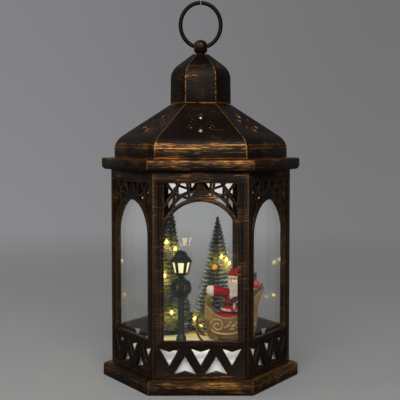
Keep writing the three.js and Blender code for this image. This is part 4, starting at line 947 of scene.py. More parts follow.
def make_crown():
    look = bpy.context.scene.lantern_housing
    low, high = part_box("finial_ball")
    centre = high.z / MM - BALL_RADIUS
    make_ring(look, centre)
    shape = bmesh.new()
    add_ball(shape, (0, 0, centre), (BALL_RADIUS,) * 3, 48, 32)
    ball = carved(new_piece("finial_ball_finish", in_metres(shape)), ball_bore(centre))
    shape = bmesh.new()
    foot = low.z / MM
    add_turned(shape, [(0, foot), (1.7, foot), (2, foot + 0.5), (2, centre - 4.4), (0, centre - 4.4)], 20)
    add_turned(shape, [(0, centre - 6.1), (3.1, centre - 6.1), (3.4, centre - 5.5), (3.1, centre - 5.0),
                       (2.2, centre - 4.9), (0, centre - 4.9)], 32)
    stud = new_piece("stud", in_metres(shape))
    gilded = bronze_finish("ball_bronze", look, gold=1.2, uv=None)
    ball = smooth_faces(new_piece("finial_ball_finish", joined_pieces(ball, stud), gilded), 40)
    hand_over(ball, "housing", "finial_ball")
    paint("finial_nut", zinc_finish())


# Battery tray

def make_battery_tray():
    black = plastic_finish("black_plastic", tint(26, 26, 27), 0.55)
    zinc = zinc_finish()
    jacket = plastic_finish("cell_jacket", tint(44, 50, 60), 0.3, 200)
    green = plastic_finish("board_lacquer", tint(26, 96, 52), 0.35, 500)
    finishes = {"battery_box": black, "battery_door": black, "switch_body": black, "switch_knob": black,
                "timer_board": green, "contact_left": zinc, "contact_right": zinc,
                "box_screw_1": zinc, "box_screw_2": zinc,
                "battery_cell_1": jacket, "battery_cell_2": jacket, "battery_cell_3": jacket}
    for node, material in finishes.items():
        paint(node, material)


# Snow

# The last value is how far the painted glow of the lights reaches over the snow, in millimetres.
SNOW = {"rim": 24.0, "rise": 8.0, "ripple": 0.5, "face": 55.52, "square": 2, "cuts": 31, "warmth": 26}


def near_rim(x, y):
    """How near a spot is to the walls, from 0 in the middle to 1."""
    turns = [math.pi / 2 + i * SIDE for i in range(6)]
    return max((x * math.cos(a) + y * math.sin(a)) / SNOW["face"] for a in turns)


def ground_height(x, y):
    """The height of the snow, which is dished up towards its middle."""
    inside = 1 - min(near_rim(x, y), 1) ** 2
    ripple = SNOW["ripple"] * math.sin(x / 6 + 1) * math.cos(y / 7)
    return SNOW["rim"] + inside * (SNOW["rise"] + ripple)


def cut_finely(shape):
    """Cuts a shape into small squares, so that its top can be raised and lowered."""
    for axis in (0, 1):
        for step in range(-SNOW["cuts"], SNOW["cuts"] + 1):
            place = Vector((0, 0, 0))
            direction = Vector((0, 0, 0))
            place[axis] = step * SNOW["square"] * MM
            direction[axis] = 1
            everything = shape.verts[:] + shape.edges[:] + shape.faces[:]
            bmesh.ops.bisect_plane(shape, geom=everything, dist=1e-7, plane_co=place, plane_no=direction)


def make_snow():
    shape = merged_copy("snow_ground")
    cut_finely(shape)
    for v in shape.verts:
        x, y, z = v.co / MM
        ground = ground_height(x, y)
        if z > ground - 0.75 and z > SNOW["rim"] - 0.5:
            free = 1 - min(near_rim(x, y), 1) ** 10
            drift = noise.fractal(Vector((x / 5, y / 5, 3)), 1.0, 2.0, 3) * 0.3
            v.co.z = (ground + drift * free) * MM
    snow = smooth_faces(new_piece("snow_ground_finish", shape, snow_finish()), 40)
    # The snow gets a painted glow round the lights of both trees.
    lights = []
    for name, tree in TREES.items():
        lights += [light + tree_foot(name) for light in bead_points(tree)]
    mark_painted_glow(snow, lights, SNOW["warmth"] * MM)
    hand_over(snow, "snow", "snow_ground")


# Trees and their strings

TREES = {
    "left": {
        "x": -24, "y": 14, "height": 107, "radius": 15.5,
        "pitch": 26.3, "top": 12, "bottom": 8, "phase": 1.36,
        "beads": (0.216, 0.278, 0.36, 0.45, 0.48, 0.545, 0.71, 0.79, 0.895),
        "rows": 3.3, "each": 170, "thick": 1.5, "frost": 0.6, "fullness": 4.2, "droop": 2.2,
    },
    "right": {
        "x": 14, "y": 22, "height": 96, "radius": 19.5,
        "pitch": 29.8, "top": 14, "bottom": 4, "phase": 2.89,
        "beads": (0.245, 0.28, 0.33, 0.365, 0.39, 0.7, 0.745, 0.79, 0.88, 0.95, 0.99),
        "rows": 3.2, "each": 300, "thick": 1.35, "frost": 1.0, "fullness": 3.8, "droop": 1.4,
    },
}
TREE_BARE = 5
STRAND_ROOT = -0.6
STRAND_RISE = 0.16
# How far the painted glow of a light reaches over the bristles, in millimetres.
TREE_GLOW_REACH = 11
STRING = {"wire": 0.13, "drop": 1.45, "core": 0.65, "steps": 64, "twist": 0.9, "arm": 0.19}


def tree_foot(name):
    """Where a tree stands, in metres."""
    tree = TREES[name]
    return Vector((tree["x"] * MM, tree["y"] * MM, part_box("tree_" + name)[0].z))


def tree_reach(tree, height):
    """How far a tree's bristles reach at a height."""
    share = (height - TREE_BARE) / (tree["height"] - TREE_BARE)
    return tree["radius"] * (1 - min(max(share, 0), 1)) + 0.8


def bead_points(tree):
    """The lights of a tree's string, in metres from its foot."""
    return [string_point(tree, share) * MM for share in tree["beads"]]


def bristle_recipe():
    """Bristles wound round an upright wire, each one a thin three-sided point."""
    recipe = Recipe("Bottle brush", Height=0.1, Radius=0.015, Bare=0.005, Turns=30, Each=150,
                    Thickness=0.0003, Droop=0.002, Fullness=0.002, Strays=0.5, Seed=1, Bristle=None)
    size = recipe.size
    count = recipe.math("MULTIPLY", size("Turns"), size("Each"))
    points = recipe.add("GeometryNodePoints", {"Count": count}).outputs[0]
    index = recipe.add("GeometryNodeInputIndex").outputs[0]
    share = recipe.math("DIVIDE", index, count)
    span = recipe.math("SUBTRACT", size("Height"), size("Bare"))
    even = recipe.math("ADD", size("Bare"), recipe.math("MULTIPLY", share, span))
    stray = recipe.math("LESS_THAN", recipe.random(0.0, 1.0, 7), size("Strays"))
    near = recipe.random(-0.00032, 0.00032)
    far = recipe.math("MULTIPLY", stray, recipe.random(-0.0019, -0.0004, 8))
    height = recipe.math("ADD", even, recipe.math("ADD", near, far))
    turn = recipe.math("DIVIDE", index, size("Each"))
    jitter = recipe.random(-0.03, 0.03, 1)
    angle = recipe.math("ADD", recipe.math("MULTIPLY", turn, TURN), jitter)
    trim = recipe.random(0.86, 1.0, 2)
    taper = recipe.math("POWER", recipe.math("SUBTRACT", 1.0, share), 0.86)
    low_part = recipe.smooth_step(share, 0.65, 0.0, 0.0, size("Fullness"))
    reach = recipe.math("ADD", recipe.math("MULTIPLY", taper, size("Radius")), 0.0008)
    reach = recipe.math("ADD", reach, low_part)
    shorter = recipe.math("MULTIPLY_ADD", stray, -0.1, 1.0)
    length = recipe.math("MULTIPLY", recipe.math("MULTIPLY", reach, trim), shorter)
    tilt = recipe.math("ADD", recipe.random(-0.05, 0.05, 3), STRAND_RISE)
    aim = recipe.vector(recipe.math("COSINE", angle), recipe.math("SINE", angle), tilt)
    place = recipe.vector(0.0, 0.0, height)
    placed = recipe.add("GeometryNodeSetPosition", {"Geometry": points, "Position": place}).outputs[0]
    tip = recipe.math("MULTIPLY", size("Thickness"), 0.6)
    thorn = recipe.thorn(size("Thickness"), tip, 2)
    thorn = recipe.marked(thorn, "along", recipe.position()["Z"])
    many = recipe.copies(recipe.marked(placed, "stray", stray), thorn, recipe.pointing(aim), length)
    solid = recipe.add("GeometryNodeRealizeInstances", {0: many}).outputs[0]
    where = recipe.position()
    squares = [recipe.math("POWER", where[axis], 2) for axis in ("X", "Y")]
    out = recipe.math("SQRT", recipe.math("ADD", *squares))
    bend = recipe.math("POWER", recipe.math("DIVIDE", out, size("Radius")), 2)
    sag = recipe.vector(0.0, 0.0, recipe.math("MULTIPLY", recipe.math("MULTIPLY", bend, size("Droop")), -1))
    hung = recipe.add("GeometryNodeSetPosition", {"Geometry": solid, "Offset": sag}).outputs[0]
    recipe.finished(recipe.joined(recipe.painted(hung, size("Bristle")), size("Geometry")))
    return recipe


def tree_core(tree):
    """The two twisted wires of a tree and its foot."""
    shape = bmesh.new()
    height = tree["height"]
    steps = int(height * 2)
    for start in (0, math.pi):
        route = []
        for i in range(steps + 1):
            z = 1 + (height - 1) * i / steps
            angle = start + TURN * z / 5
            route.append((0.55 * math.cos(angle), 0.55 * math.sin(angle), z))
        add_tube(shape, route, 0.6, 5)
    add_turned(shape, [(0, 0), (6.8, 0), (7, 0.3), (7, 2.1), (6.5, 2.7), (4, 3.0), (2.2, 3.8), (1.2, 5),
                       (0, 5.2)], 28)
    return in_metres(shape)


def make_trees():
    look = bpy.context.scene.lantern_trees
    recipe = bristle_recipe()
    wire = plastic_finish("tree_wire", tint(46, 58, 50), 0.5)
    for name, tree in TREES.items():
        piece = new_piece(f"tree_{name}_bristles", tree_core(tree), wire)
        finish = bristle_finish(f"{name}_bristles", look, tree["frost"])
        turns = round((tree["height"] - TREE_BARE) / tree["rows"])
        recipe.applied(
            piece, Height=tree["height"] * MM, Radius=tree["radius"] * MM, Bare=TREE_BARE * MM, Turns=turns,
            Each=round(tree["each"] * look.fullness), Thickness=look.thickness * tree["thick"],
            Droop=tree["droop"] * MM, Fullness=tree["fullness"] * MM, Seed=look.seed, Bristle=finish,
        )
        # The bristles get a painted glow round their string's lights.
        mark_painted_glow(piece, bead_points(tree), TREE_GLOW_REACH * MM)
        piece.data.transform(Matrix.Translation(tree_foot(name)))
        hand_over(piece, "bristles", "tree_" + name)


def mark_painted_glow(piece, lights, reach):
    """Marks how near each corner of a piece is to the nearest light, for a painted glow of that light."""
    mesh = piece.data
    droop = Vector((0, 0, reach * 0.3))
    values = []
    for v in mesh.vertices:
        near = min((v.co - light + droop).length_squared for light in lights)
        values.append(math.exp(-near / reach ** 2))
    mesh.attributes.new("warmth", "FLOAT", "POINT").data.foreach_set("value", values)


def string_point(tree, share):
    """A point of a tree's string; the share runs from its top to its foot."""
    low = TREE_BARE + tree["bottom"]
    high = tree["height"] - tree["top"]
    height = high - share * (high - low)
    angle = -math.pi / 2 + tree["phase"] + TURN * (high - height) / tree["pitch"]
    reach = tree_reach(tree, height - STRAND_RISE * tree["radius"] / 2) + 1.0 + STRAND_ROOT
    return Vector((reach * math.cos(angle), reach * math.sin(angle), height))


def string_recipe():
    """Two thin wires along the piece's edges and a drop of resin at each marked corner."""
    recipe = Recipe("Light string", Wire=0.0002, Drop=0.0013, Core=0.0005, Metal=None, Light=None, Resin=None)
    size = recipe.size
    route = size("Geometry")
    line = recipe.add("GeometryNodeMeshToCurve", {0: route}).outputs[0]
    circle = recipe.add("GeometryNodeCurvePrimitiveCircle", {"Resolution": 5, "Radius": size("Wire")})
    sockets = {"Curve": line, "Profile Curve": circle.outputs[0], "Fill Caps": True}
    metal = recipe.painted(recipe.add("GeometryNodeCurveToMesh", sockets).outputs[0], size("Metal"))
    sockets = {"Geometry": recipe.ball(size("Drop"), 3), "Scale": (0.85, 0.85, 1.15)}
    long_drop = recipe.add("GeometryNodeTransform", sockets).outputs[0]
    bead = recipe.joined(recipe.painted(recipe.ball(size("Core"), 2), size("Light")),
                         recipe.painted(long_drop, size("Resin")))
    marked = recipe.add("GeometryNodeInputNamedAttribute", {"Name": "bead"}, data_type="FLOAT").outputs[0]
    chosen = recipe.math("GREATER_THAN", marked, 0.5)
    sockets = {"Points": route, "Instance": bead, "Selection": chosen}
    drops = recipe.add("GeometryNodeInstanceOnPoints", sockets).outputs[0]
    recipe.finished(recipe.joined(metal, drops))
    return recipe


def string_route(tree):
    """A mesh of a tree's two twisted wires, as edges, and of its lights, as marked single corners."""
    turns = (tree["height"] - tree["top"] - TREE_BARE - tree["bottom"]) / tree["pitch"]
    steps = round(turns * STRING["steps"])
    wires = [[], []]
    for i in range(steps + 1):
        middle = string_point(tree, i / steps)
        after = string_point(tree, min(i + 1, steps) / steps) - string_point(tree, max(i - 1, 0) / steps)
        side = after.normalized().orthogonal().normalized()
        up = after.normalized().cross(side)
        twist = i * STRING["twist"]
        arm = (side * math.cos(twist) + up * math.sin(twist)) * STRING["arm"]
        wires[0].append((middle + arm) * MM)
        wires[1].append((middle - arm) * MM)
    count = steps + 1
    beads = bead_points(tree)
    edges = [(k + i, k + i + 1) for k in (0, count) for i in range(steps)]
    mesh = bpy.data.meshes.new("string")
    mesh.from_pydata([*wires[0], *wires[1], *beads], edges, [])
    marks = mesh.attributes.new("bead", "FLOAT", "POINT")
    marks.data.foreach_set("value", [0.0] * (2 * count) + [1.0] * len(beads))
    return mesh


def make_light_strings():
    look = bpy.context.scene.lantern_lights
    wire = steel_finish("string_wire", look.wire)
    light = lit_finish("string_light", look.core, look.warm, look.bead, 0.0, 1.0)
    resin = resin_finish("string_resin", look.warm)
    recipe = string_recipe()
    for name, tree in TREES.items():
        piece = linked_piece(f"light_string_{name}_wire", string_route(tree))
        recipe.applied(piece, Wire=STRING["wire"] * MM, Drop=STRING["drop"] * MM, Core=STRING["core"] * MM,
                       Metal=wire, Light=light, Resin=resin)
        piece.data.transform(Matrix.Translation(tree_foot(name)))
        smooth_faces(piece, 50)
        hand_over(piece, "light_wire", "light_string_" + name)


# Street lamp

LAMP = {"x": -15, "y": -36, "bottom": 27.62, "pole": 86.22, "glass_top": 97.02}


def six_sided(shape, profile, centre):
    """A turned form with six flat sides."""
    made = add_turned(shape, profile, 6)
    bmesh.ops.rotate(shape, cent=(0, 0, 0), matrix=Matrix.Rotation(SIDE / 2, 3, "Z"), verts=made)
    bmesh.ops.translate(shape, vec=(*centre, 0), verts=made)


def make_street_lamp():
    lights = bpy.context.scene.lantern_lights
    coat = plastic_finish("lamp_paint", tint(22, 24, 20), 0.42, 700, 0.2)
    dark = plastic_finish("lamp_cap_paint", tint(9, 8, 8), 0.4, 700, 0.25)
    at = (LAMP["x"], LAMP["y"])
    low, top = LAMP["bottom"], LAMP["pole"]
    foot = low + 11

    def flutes(angle, height):
        fluted = foot + 1.5 < height < top - 6
        return 1 - (0.07 * (0.5 + 0.5 * math.cos(12 * angle)) if fluted else 0)

    profile = [(0, low), (5.2, low), (5.4, low + 0.3), (5.4, low + 2.9), (5.2, low + 3.6), (4.9, low + 4),
               (4.6, low + 5), (4.2, low + 6.5), (3.9, low + 8), (3.7, foot - 1.8), (3.9, foot - 1.5),
               (3.9, foot - 0.9), (3.5, foot - 0.5), (3.1, foot + 0.2), (2.9, foot + 1), (2.8, foot + 1.6),
               (2.75, foot + 1.7)]
    profile += [(2.7 - 0.4 * i / 6, foot + 2 + (top - 8 - foot) * i / 6) for i in range(7)]
    profile += [(2.3, top - 5.4), (3.0, top - 4.4), (3.1, top - 3.6), (2.7, top - 2.9), (1.9, top - 2.2),
                (2.4, top - 1.2), (3.4, top - 0.5), (4, top - 0.2), (4, top), (0, top)]
    shape = bmesh.new()
    add_turned(shape, profile, 48, at, flutes)
    completed("lamp_post_finish", shape, coat, "lamp_paint", "lamp_post", smooth=45)

    cage = new_piece("lamp_cage_finish", merged_copy("lamp_cage"), dark)
    bevelled(cage, 0.18 * MM)
    hand_over(smooth_faces(cage), "lamp_paint", "lamp_cage")

    base = LAMP["glass_top"] + 1.2
    hat = [(0, base), (7.3, base), (7.4, base - 1.0), (7.95, base - 1.1), (8.1, base + 0.3),
           (7.3, base + 0.75), (6.3, base + 1.4), (5.5, base + 2.3), (5.0, base + 3.3), (4.3, base + 4.5),
           (3.3, base + 5.4), (2.1, base + 5.9), (1.0, base + 6.15), (0, base + 6.2)]
    shape = bmesh.new()
    six_sided(shape, hat, at)
    add_ball(shape, (*at, base + 6.5), (0.85, 0.85, 0.9), 16, 10)
    for k in range(6):
        angle = k * SIDE + SIDE / 2
        rib = [(at[0] + r * math.cos(angle), at[1] + r * math.sin(angle), z + 0.05) for r, z in hat[4:13]]
        add_tube(shape, rib, 0.32, 6)
    completed("lamp_cap_finish", shape, dark, "lamp_paint", "lamp_cap")

    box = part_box("lamp_glass")
    middle, reach = (box[0].z + box[1].z) / 2, (box[1].z - box[0].z) / 2
    glass = lit_finish("lamp_glow", tint(255, 250, 196), lights.warm, lights.lamp, middle, reach, 0.28)
    paint("lamp_glass", glass)


# Greenery

def evergreen_finish():
    """The green that the wreath and the garland share."""
    return shared_finish("evergreen", cloth_finish, bpy.context.scene.lantern_figure.green, 0.0, 900)


def sprig_recipe():
    """Short needles that stand out from a form's faces, with berries between them."""
    recipe = Recipe("Evergreen", Needles=600, Length=0.002, Thickness=0.0002, Berries=12, Berry=0.0005,
                    Seed=1, Green=None, Bright=None)
    size = recipe.size
    form = size("Geometry")

    def scattered(count, seed):
        # The number of points follows from the form's area
        area = recipe.add("GeometryNodeAttributeStatistic", {"Geometry": form}, domain="FACE")
        recipe.plug(recipe.add("GeometryNodeInputMeshFaceArea").outputs[0], area.inputs["Attribute"])
        density = recipe.math("DIVIDE", count, area.outputs["Sum"])
        sockets = {"Mesh": form, "Density": density, "Seed": seed}
        return recipe.add("GeometryNodeDistributePointsOnFaces", sockets)

    spots = scattered(size("Needles"), size("Seed"))
    sway = recipe.add("FunctionNodeRandomValue", {
        0: (-0.75, -0.75, -0.75), 1: (0.75, 0.75, 0.75), "Seed": recipe.math("ADD", size("Seed"), 5),
    }, data_type="FLOAT_VECTOR").outputs[0]
    lean = recipe.add("ShaderNodeVectorMath", {0: spots.outputs["Normal"], 1: sway}, operation="ADD")
    turned = recipe.pointing(lean.outputs[0])
    length = recipe.math("MULTIPLY", size("Length"), recipe.random(0.6, 1.0))
    needles = recipe.copies(spots.outputs[0], recipe.thorn(size("Thickness"), 0.0, 1), turned, length)
    needles = recipe.painted(needles, size("Green"))
    fruit_spots = scattered(size("Berries"), recipe.math("ADD", size("Seed"), 11)).outputs[0]
    sockets = {"Points": fruit_spots, "Instance": recipe.ball(size("Berry"), 2)}
    fruits = recipe.painted(recipe.add("GeometryNodeInstanceOnPoints", sockets).outputs[0], size("Bright"))
    recipe.finished(recipe.joined(needles, fruits, form))
    return recipe


def make_wreath():
    green = evergreen_finish()
    berry = plastic_finish("berry", tint(120, 18, 20), 0.3)
    centre = middle_of("lamp_wreath") + Vector((0, 0, 1.2))
    shape = bmesh.new()
    route = [(6.0 * math.cos(a), 0, 6.0 * math.sin(a)) for a in angles(40)]
    add_tube(shape, route, [1.45 + 0.2 * math.sin(5 * k) for k in range(40)], 12, closed=True)
    wreath = new_piece("lamp_wreath_needles", in_metres(shape, centre), green)
    sprig_recipe().applied(wreath, Needles=2400, Length=1.3 * MM, Thickness=0.17 * MM, Berries=14,
                           Berry=0.42 * MM, Seed=3, Green=green, Bright=berry)
    hand_over(wreath, "evergreen", "lamp_wreath")


def make_wreath_bow():
    ribbon = cloth_finish("bow_ribbon", tint(34, 13, 9), 0.0, 1100, 0.5)
    shape = bmesh.new()
    upright, level = Vector((0, 0, 1)), Vector((1, 0, 0))
    for side in (-1, 1):
        loop = curve_points(
            (0, 0, 0), ((side * 1.2, -1.3, 0.5), (side * 3.2, -1.3, 0.9), (side * 3.3, 0, 0.8)),
            ((side * 3.2, 1.1, 0.7), (side * 1.2, 1.0, 0.3), (0, 0.1, 0)), steps=10,
        )
        ribbon_strip(shape, loop, 2.1, upright)
        tail = curve_points((side * 0.5, -0.2, 0), ((side * 0.9, -0.6, -1.6), (side * 1.5, -0.5, -3.0),
                            (side * 1.8, -0.2, -4.8)), steps=10)
        ribbon_strip(shape, tail, 1.7, level)
    add_ball(shape, (0, -0.1, 0), (0.95, 1.0, 0.95), 14, 10)
    knot = middle_of("wreath_bow")
    completed("wreath_bow_ribbon", shape, ribbon, "bow", "wreath_bow", at=knot, smooth=50)


def ribbon_strip(shape, route, width, across, thickness=0.22):
    """A flat ribbon along a route; across is the way its width lies."""
    rings = []
    for i, point in enumerate(route):
        along = (route[min(i + 1, len(route) - 1)] - route[max(i - 1, 0)]).normalized()
        out = along.cross(across).normalized() * thickness / 2
        half = across * width / 2
        rings.append([shape.verts.new(point + a) for a in (out - half, out + half, -out + half, -out - half)])
    for low, high in zip(rings, rings[1:]):
        for k in range(4):
            shape.faces.new((low[k], high[k], high[(k + 1) % 4], low[(k + 1) % 4]))
    shape.faces.new(rings[0])
    shape.faces.new(rings[-1][::-1])
    bmesh.ops.recalc_face_normals(shape, faces=shape.faces)


# Sleigh

SLEIGH = (24, -15, 29.36)
HALF_WIDTH = 11.0


def aged_gold_finish():
    """The gold that the sleigh, the ties and the baubles' caps share."""
    return shared_finish("aged_gold", gold_finish, bpy.context.scene.lantern_figure.gold, 34, 62)


def sleigh_outline():
    """The sleigh's side, with its high curled back."""
    points = curve_points((-17, 5, 0), ((-17, 5, 0), (11, 5, 0), (11, 5, 0)), steps=1)
    points += curve_points(
        (11, 5, 0), ((19, 6, 0), (20, 16, 0), (20, 26, 0)), ((20, 36, 0), (24, 40, 0), (25, 45.5, 0)),
        ((25, 45, 0), (16, 39, 0), (14, 31, 0)), ((12, 24, 0), (4, 21.5, 0), (-4, 21.5, 0)),
        ((-10, 21.5, 0), (-14, 25, 0), (-19.5, 32, 0)), ((-21.5, 27, 0), (-21.5, 12, 0), (-17, 5, 0)),
    )[1:-1]
    return [(p.x, p.y) for p in points]


def sleigh_room():
    """The hollow inside the sleigh."""
    points = curve_points((-15.5, 7, 0), ((-15.5, 7, 0), (10.5, 7, 0), (10.5, 7, 0)), steps=1)
    points += curve_points((10.5, 7, 0), ((16.5, 9, 0), (17.6, 16, 0), (17.6, 26, 0)))[1:]
    points += [Vector((17.6, 47, 0)), Vector((-15.5, 47, 0)), Vector((-18.6, 26, 0))]
    points += curve_points((-18.6, 26, 0), ((-18.8, 22, 0), (-18.6, 12, 0), (-15.5, 7, 0)))[1:-1]
    return [(p.x, p.y) for p in points]


def spiral(centre, radius, start, turns, steps=22, least=0.25):
    """Points on a scroll that winds inwards; a negative number of turns winds the other way."""
    points = []
    for i in range(steps + 1):
        t = i / steps
        angle = start + t * turns * TURN
        reach = radius * (1 - (1 - least) * t)
        points.append((centre[0] + reach * math.cos(angle), centre[1] + reach * math.sin(angle)))
    return points


def make_sleigh():
    shape = bmesh.new()
    add_slab(shape, sleigh_outline(), -HALF_WIDTH, HALF_WIDTH)
    body = new_piece("sleigh_body_finish", shape)
    cutter = bmesh.new()
    add_slab(cutter, sleigh_room(), -HALF_WIDTH + 1.8, HALF_WIDTH - 1.8)
    carved(body, new_piece("room", cutter))
    bevelled(body, 0.45, 3)
    body.data.transform(Matrix.Scale(MM, 4) @ Matrix.Translation(SLEIGH))
    relief = new_piece("relief", in_metres(sleigh_relief(), SLEIGH))
    body = smooth_faces(new_piece("sleigh_body_finish", joined_pieces(body, relief), aged_gold_finish()), 40)
    hand_over(body, "gold_paint", "sleigh_body")


def make_runners():
    brown = gold_finish("runner_gold", scaled(bpy.context.scene.lantern_figure.gold, 0.6), 20, 40)
    for node in ("sleigh_runner_front", "sleigh_runner_back"):
        make_runner(node, brown)


def sleigh_relief():
    """The seat, the rails and the scrolls and leaves on both sides, in millimetres."""
    extra = bmesh.new()
    seat_outline = [(-2, 6.5), (17, 6.5), (17.4, 12), (17.8, 16), (-2, 16)]
    add_slab(extra, seat_outline, -HALF_WIDTH + 1.2, HALF_WIDTH - 1.2)
    rim = [p for p in sleigh_outline() if p[1] > 20.5 and not (p[0] > 19.6 and p[1] < 45)]
    for side in (-1, 1):
        y = side * HALF_WIDTH
        rail_y = side * (HALF_WIDTH - 0.15)
        add_tube(extra, [(x, rail_y, z) for x, z in rim], 0.75, 8)
        for scroll in (spiral((-11, 15.5), 5.4, math.pi * 0.9, -1.35, 26),
                       spiral((12.8, 19.5), 5.6, -math.pi * 0.1, 1.3, 26)):
            add_tube(extra, [(x, y, z) for x, z in scroll], [0.75 - 0.3 * i / 26 for i in range(27)], 8)
        sweep = curve_points((-15.6, y, 12.6), ((-13, y, 8.4), (0, y, 7.2), (8, y, 11.5)),
                             ((11, y, 13), (16, y, 13), (18.2, y, 18)))
        add_tube(extra, sweep, 0.55, 8)
        leaf_row = [(-3.5, 14.5, 0.5), (-1.2, 17.2, 0.9), (1.6, 15.2, 0.35), (3.6, 17.4, 0.8),
                    (0.4, 12.6, 0.2), (5.6, 14.8, 0.6)]
        for x, z, lean in leaf_row:
            turn = Matrix.Rotation(-lean, 3, "Y")
            add_ball(extra, (x, y, z), (2.1, 0.65, 0.85), 14, 8, turn)
        add_ball(extra, (1.0, y, 15.0), (1.1, 0.9, 1.1), 14, 10)
    return extra


def make_runner(node, gold):
    """A runner with a scrolled front and two stands."""
    y = middle_of(node).y - SLEIGH[1]
    radius = 1.1
    scroll = 5.2
    scroll_height = radius + 13.4
    curl = -27 + scroll
    route = []
    for i in range(41):
        t = i / 40
        reach = scroll - (scroll - 2.2 * radius) * (1 - t) ** 2
        angle = math.pi - (1 - t) * 1.75 * math.pi
        route.append(Vector((curl + reach * math.cos(angle), y, scroll_height + reach * math.sin(angle))))
    route += curve_points(route[-1], ((-27, y, 5.1), (-21, y, radius), (-14, y, radius)),
                          ((-6, y, radius), (6, y, radius), (16, y, radius)),
                          ((18.7, y, radius), (20.7, y, radius + 0.7), (22, y, radius + 2)), steps=14)[1:]
    count = len(route)
    radii = [radius * min(0.95, 0.5 + 0.009 * i, 0.5 + 0.12 * (count - i)) for i in range(count)]
    shape = bmesh.new()
    add_tube(shape, route, radii, 10)
    add_ball(shape, route[0], (1.25, 1.0, 1.25), 14, 10)
    for x in (-10, 8):
        add_turned(shape, [(0, radius), (1.4, radius), (1.2, radius + 1.4), (0.8, radius + 2.4), (0.75, 6.5),
                           (1.1, 7.6), (1.0, 9), (0, 9)], 14, (x, y))
    completed(node + "_finish", shape, gold, "gold_paint", node, at=SLEIGH, smooth=50)


# Rider

HEAD = Vector((4.2, 0, 49.8))


def limb(shape, start, end, first, last, sides=18):
    """An arm or leg between two joints, round at both ends."""
    a, b = Vector(start), Vector(end)
    steps = 10
    route = [a.lerp(b, i / steps) for i in range(steps + 1)]
    add_tube(shape, route, [first + (last - first) * i / steps for i in range(steps + 1)], sides)
    add_ball(shape, a, (first,) * 3)
    add_ball(shape, b, (last,) * 3)


def clay(name, shape, material, voxel=0.4, rounds=5):
    """A piece of the rider, in millimetres from the sleigh, melted into one skin."""
    piece = new_piece(name, in_metres(shape, SLEIGH), material)
    return modelled(piece, voxel, rounds)


def make_rider():
    look = bpy.context.scene.lantern_figure
    red = cloth_finish("red_cloth", look.red)
    fur = fur_finish("white_fur", look.fur)
    black = plastic_finish("black_leather", tint(8, 8, 10), 0.45, 600, 0.2)
    skin = cloth_finish("painted_skin", look.skin, 0.0, 700, 0.5, 0.7)
    make_rider_legs(red, black, fur)
    make_rider_coat(red)
    make_rider_trims(black, fur)
    make_rider_hands(black, fur)
    make_rider_head(skin, fur, red, black)


def make_rider_legs(red, black, fur):
    """The legs with their boots and the fur at the boots' tops."""
    shape = bmesh.new()
    for side in (-1, 1):
        y = side * 4.2
        limb(shape, (2.4, y, 20.3), (-8.5, y, 20.3), 4, 3.4)
        limb(shape, (-8.5, y, 20.3), (-9, y, 13.5), 3.2, 2.9)
    add_ball(shape, (3, 0, 20.5), (4.6, 7.6, 4.1))
    legs = ruffled(clay("rider_legs_finish", shape, red), 0.35, (0.35, 0.35, 0.35))
    hand_over(legs, "red_paint", "rider_legs")
    boots = bmesh.new()
    for side in (-1, 1):
        y = side * 4.2
        limb(boots, (-9, y, 12.6), (-9.1, y, 9.8), 3.05, 2.5)
        add_ball(boots, (-10.8, y, 9.4), (3.9, 2.2, 2.0))
    hand_over(clay("rider_boots", boots, black), "black_paint")
    tops = bmesh.new()
    for side in (-1, 1):
        add_fur_ring(tops, (-9, side * 4.2, 13.4), 3.0, 0.85, Vector((0, 0, 1)))
    tufted(clay("rider_boot_trim", tops, fur, 0.35, 2), "white_paint")


def make_rider_coat(red):
    """The coat with both sleeves."""
    shape = bmesh.new()
    add_ball(shape, (2.4, 0, 30), (8.6, 6.6, 5.6))
    add_ball(shape, (2.4, 0, 36.5), (7.6, 5.8, 7.5))
    add_ball(shape, (2.4, 0, 40.6), (7.2, 5.0, 3.8))
    limb(shape, (-2.6, -2, 40), (-13.2, -7.5, 42.5), 3.5, 3.9)
    limb(shape, (7.6, -1.5, 39.4), (8.2, -4.6, 33.6), 3.3, 3.0)
    limb(shape, (8.2, -4.6, 33.6), (4.6, -7.3, 35.6), 3.0, 2.7)
    add_turned(shape, [(0, 25.5), (8.3, 25.5), (8.7, 26.5), (8.0, 29), (0, 30)], 32, (2.4, 0))
    coat = ruffled(clay("rider_coat_finish", shape, red), 0.5, (0.3, 0.3, 0.22))
    hand_over(coat, "red_paint", "rider_coat")


def make_rider_trims(black, fur):
    """The fur along the coat's hem and front, and the belt."""
    trim = bmesh.new()
    add_tube(trim, oval((2.4, 0, 26.6), 8.7, 7.6, 48), 1.15, 10, closed=True)
    front = curve_points((2.2, -7.6, 26.6), ((2.2, -7.8, 30), (2.6, -7.2, 33), (3.2, -6.6, 36)), steps=8)
    add_tube(trim, front, 1.1, 10)
    tufted(clay("rider_coat_trim", trim, fur, 0.35, 2), "white_paint")
    belt = bmesh.new()
    add_tube(belt, oval((2.4, 0, 31.4), 8.15, 6.35, 48), 0.95, 8, closed=True)
    completed("rider_belt", belt, black, "black_paint", at=SLEIGH)


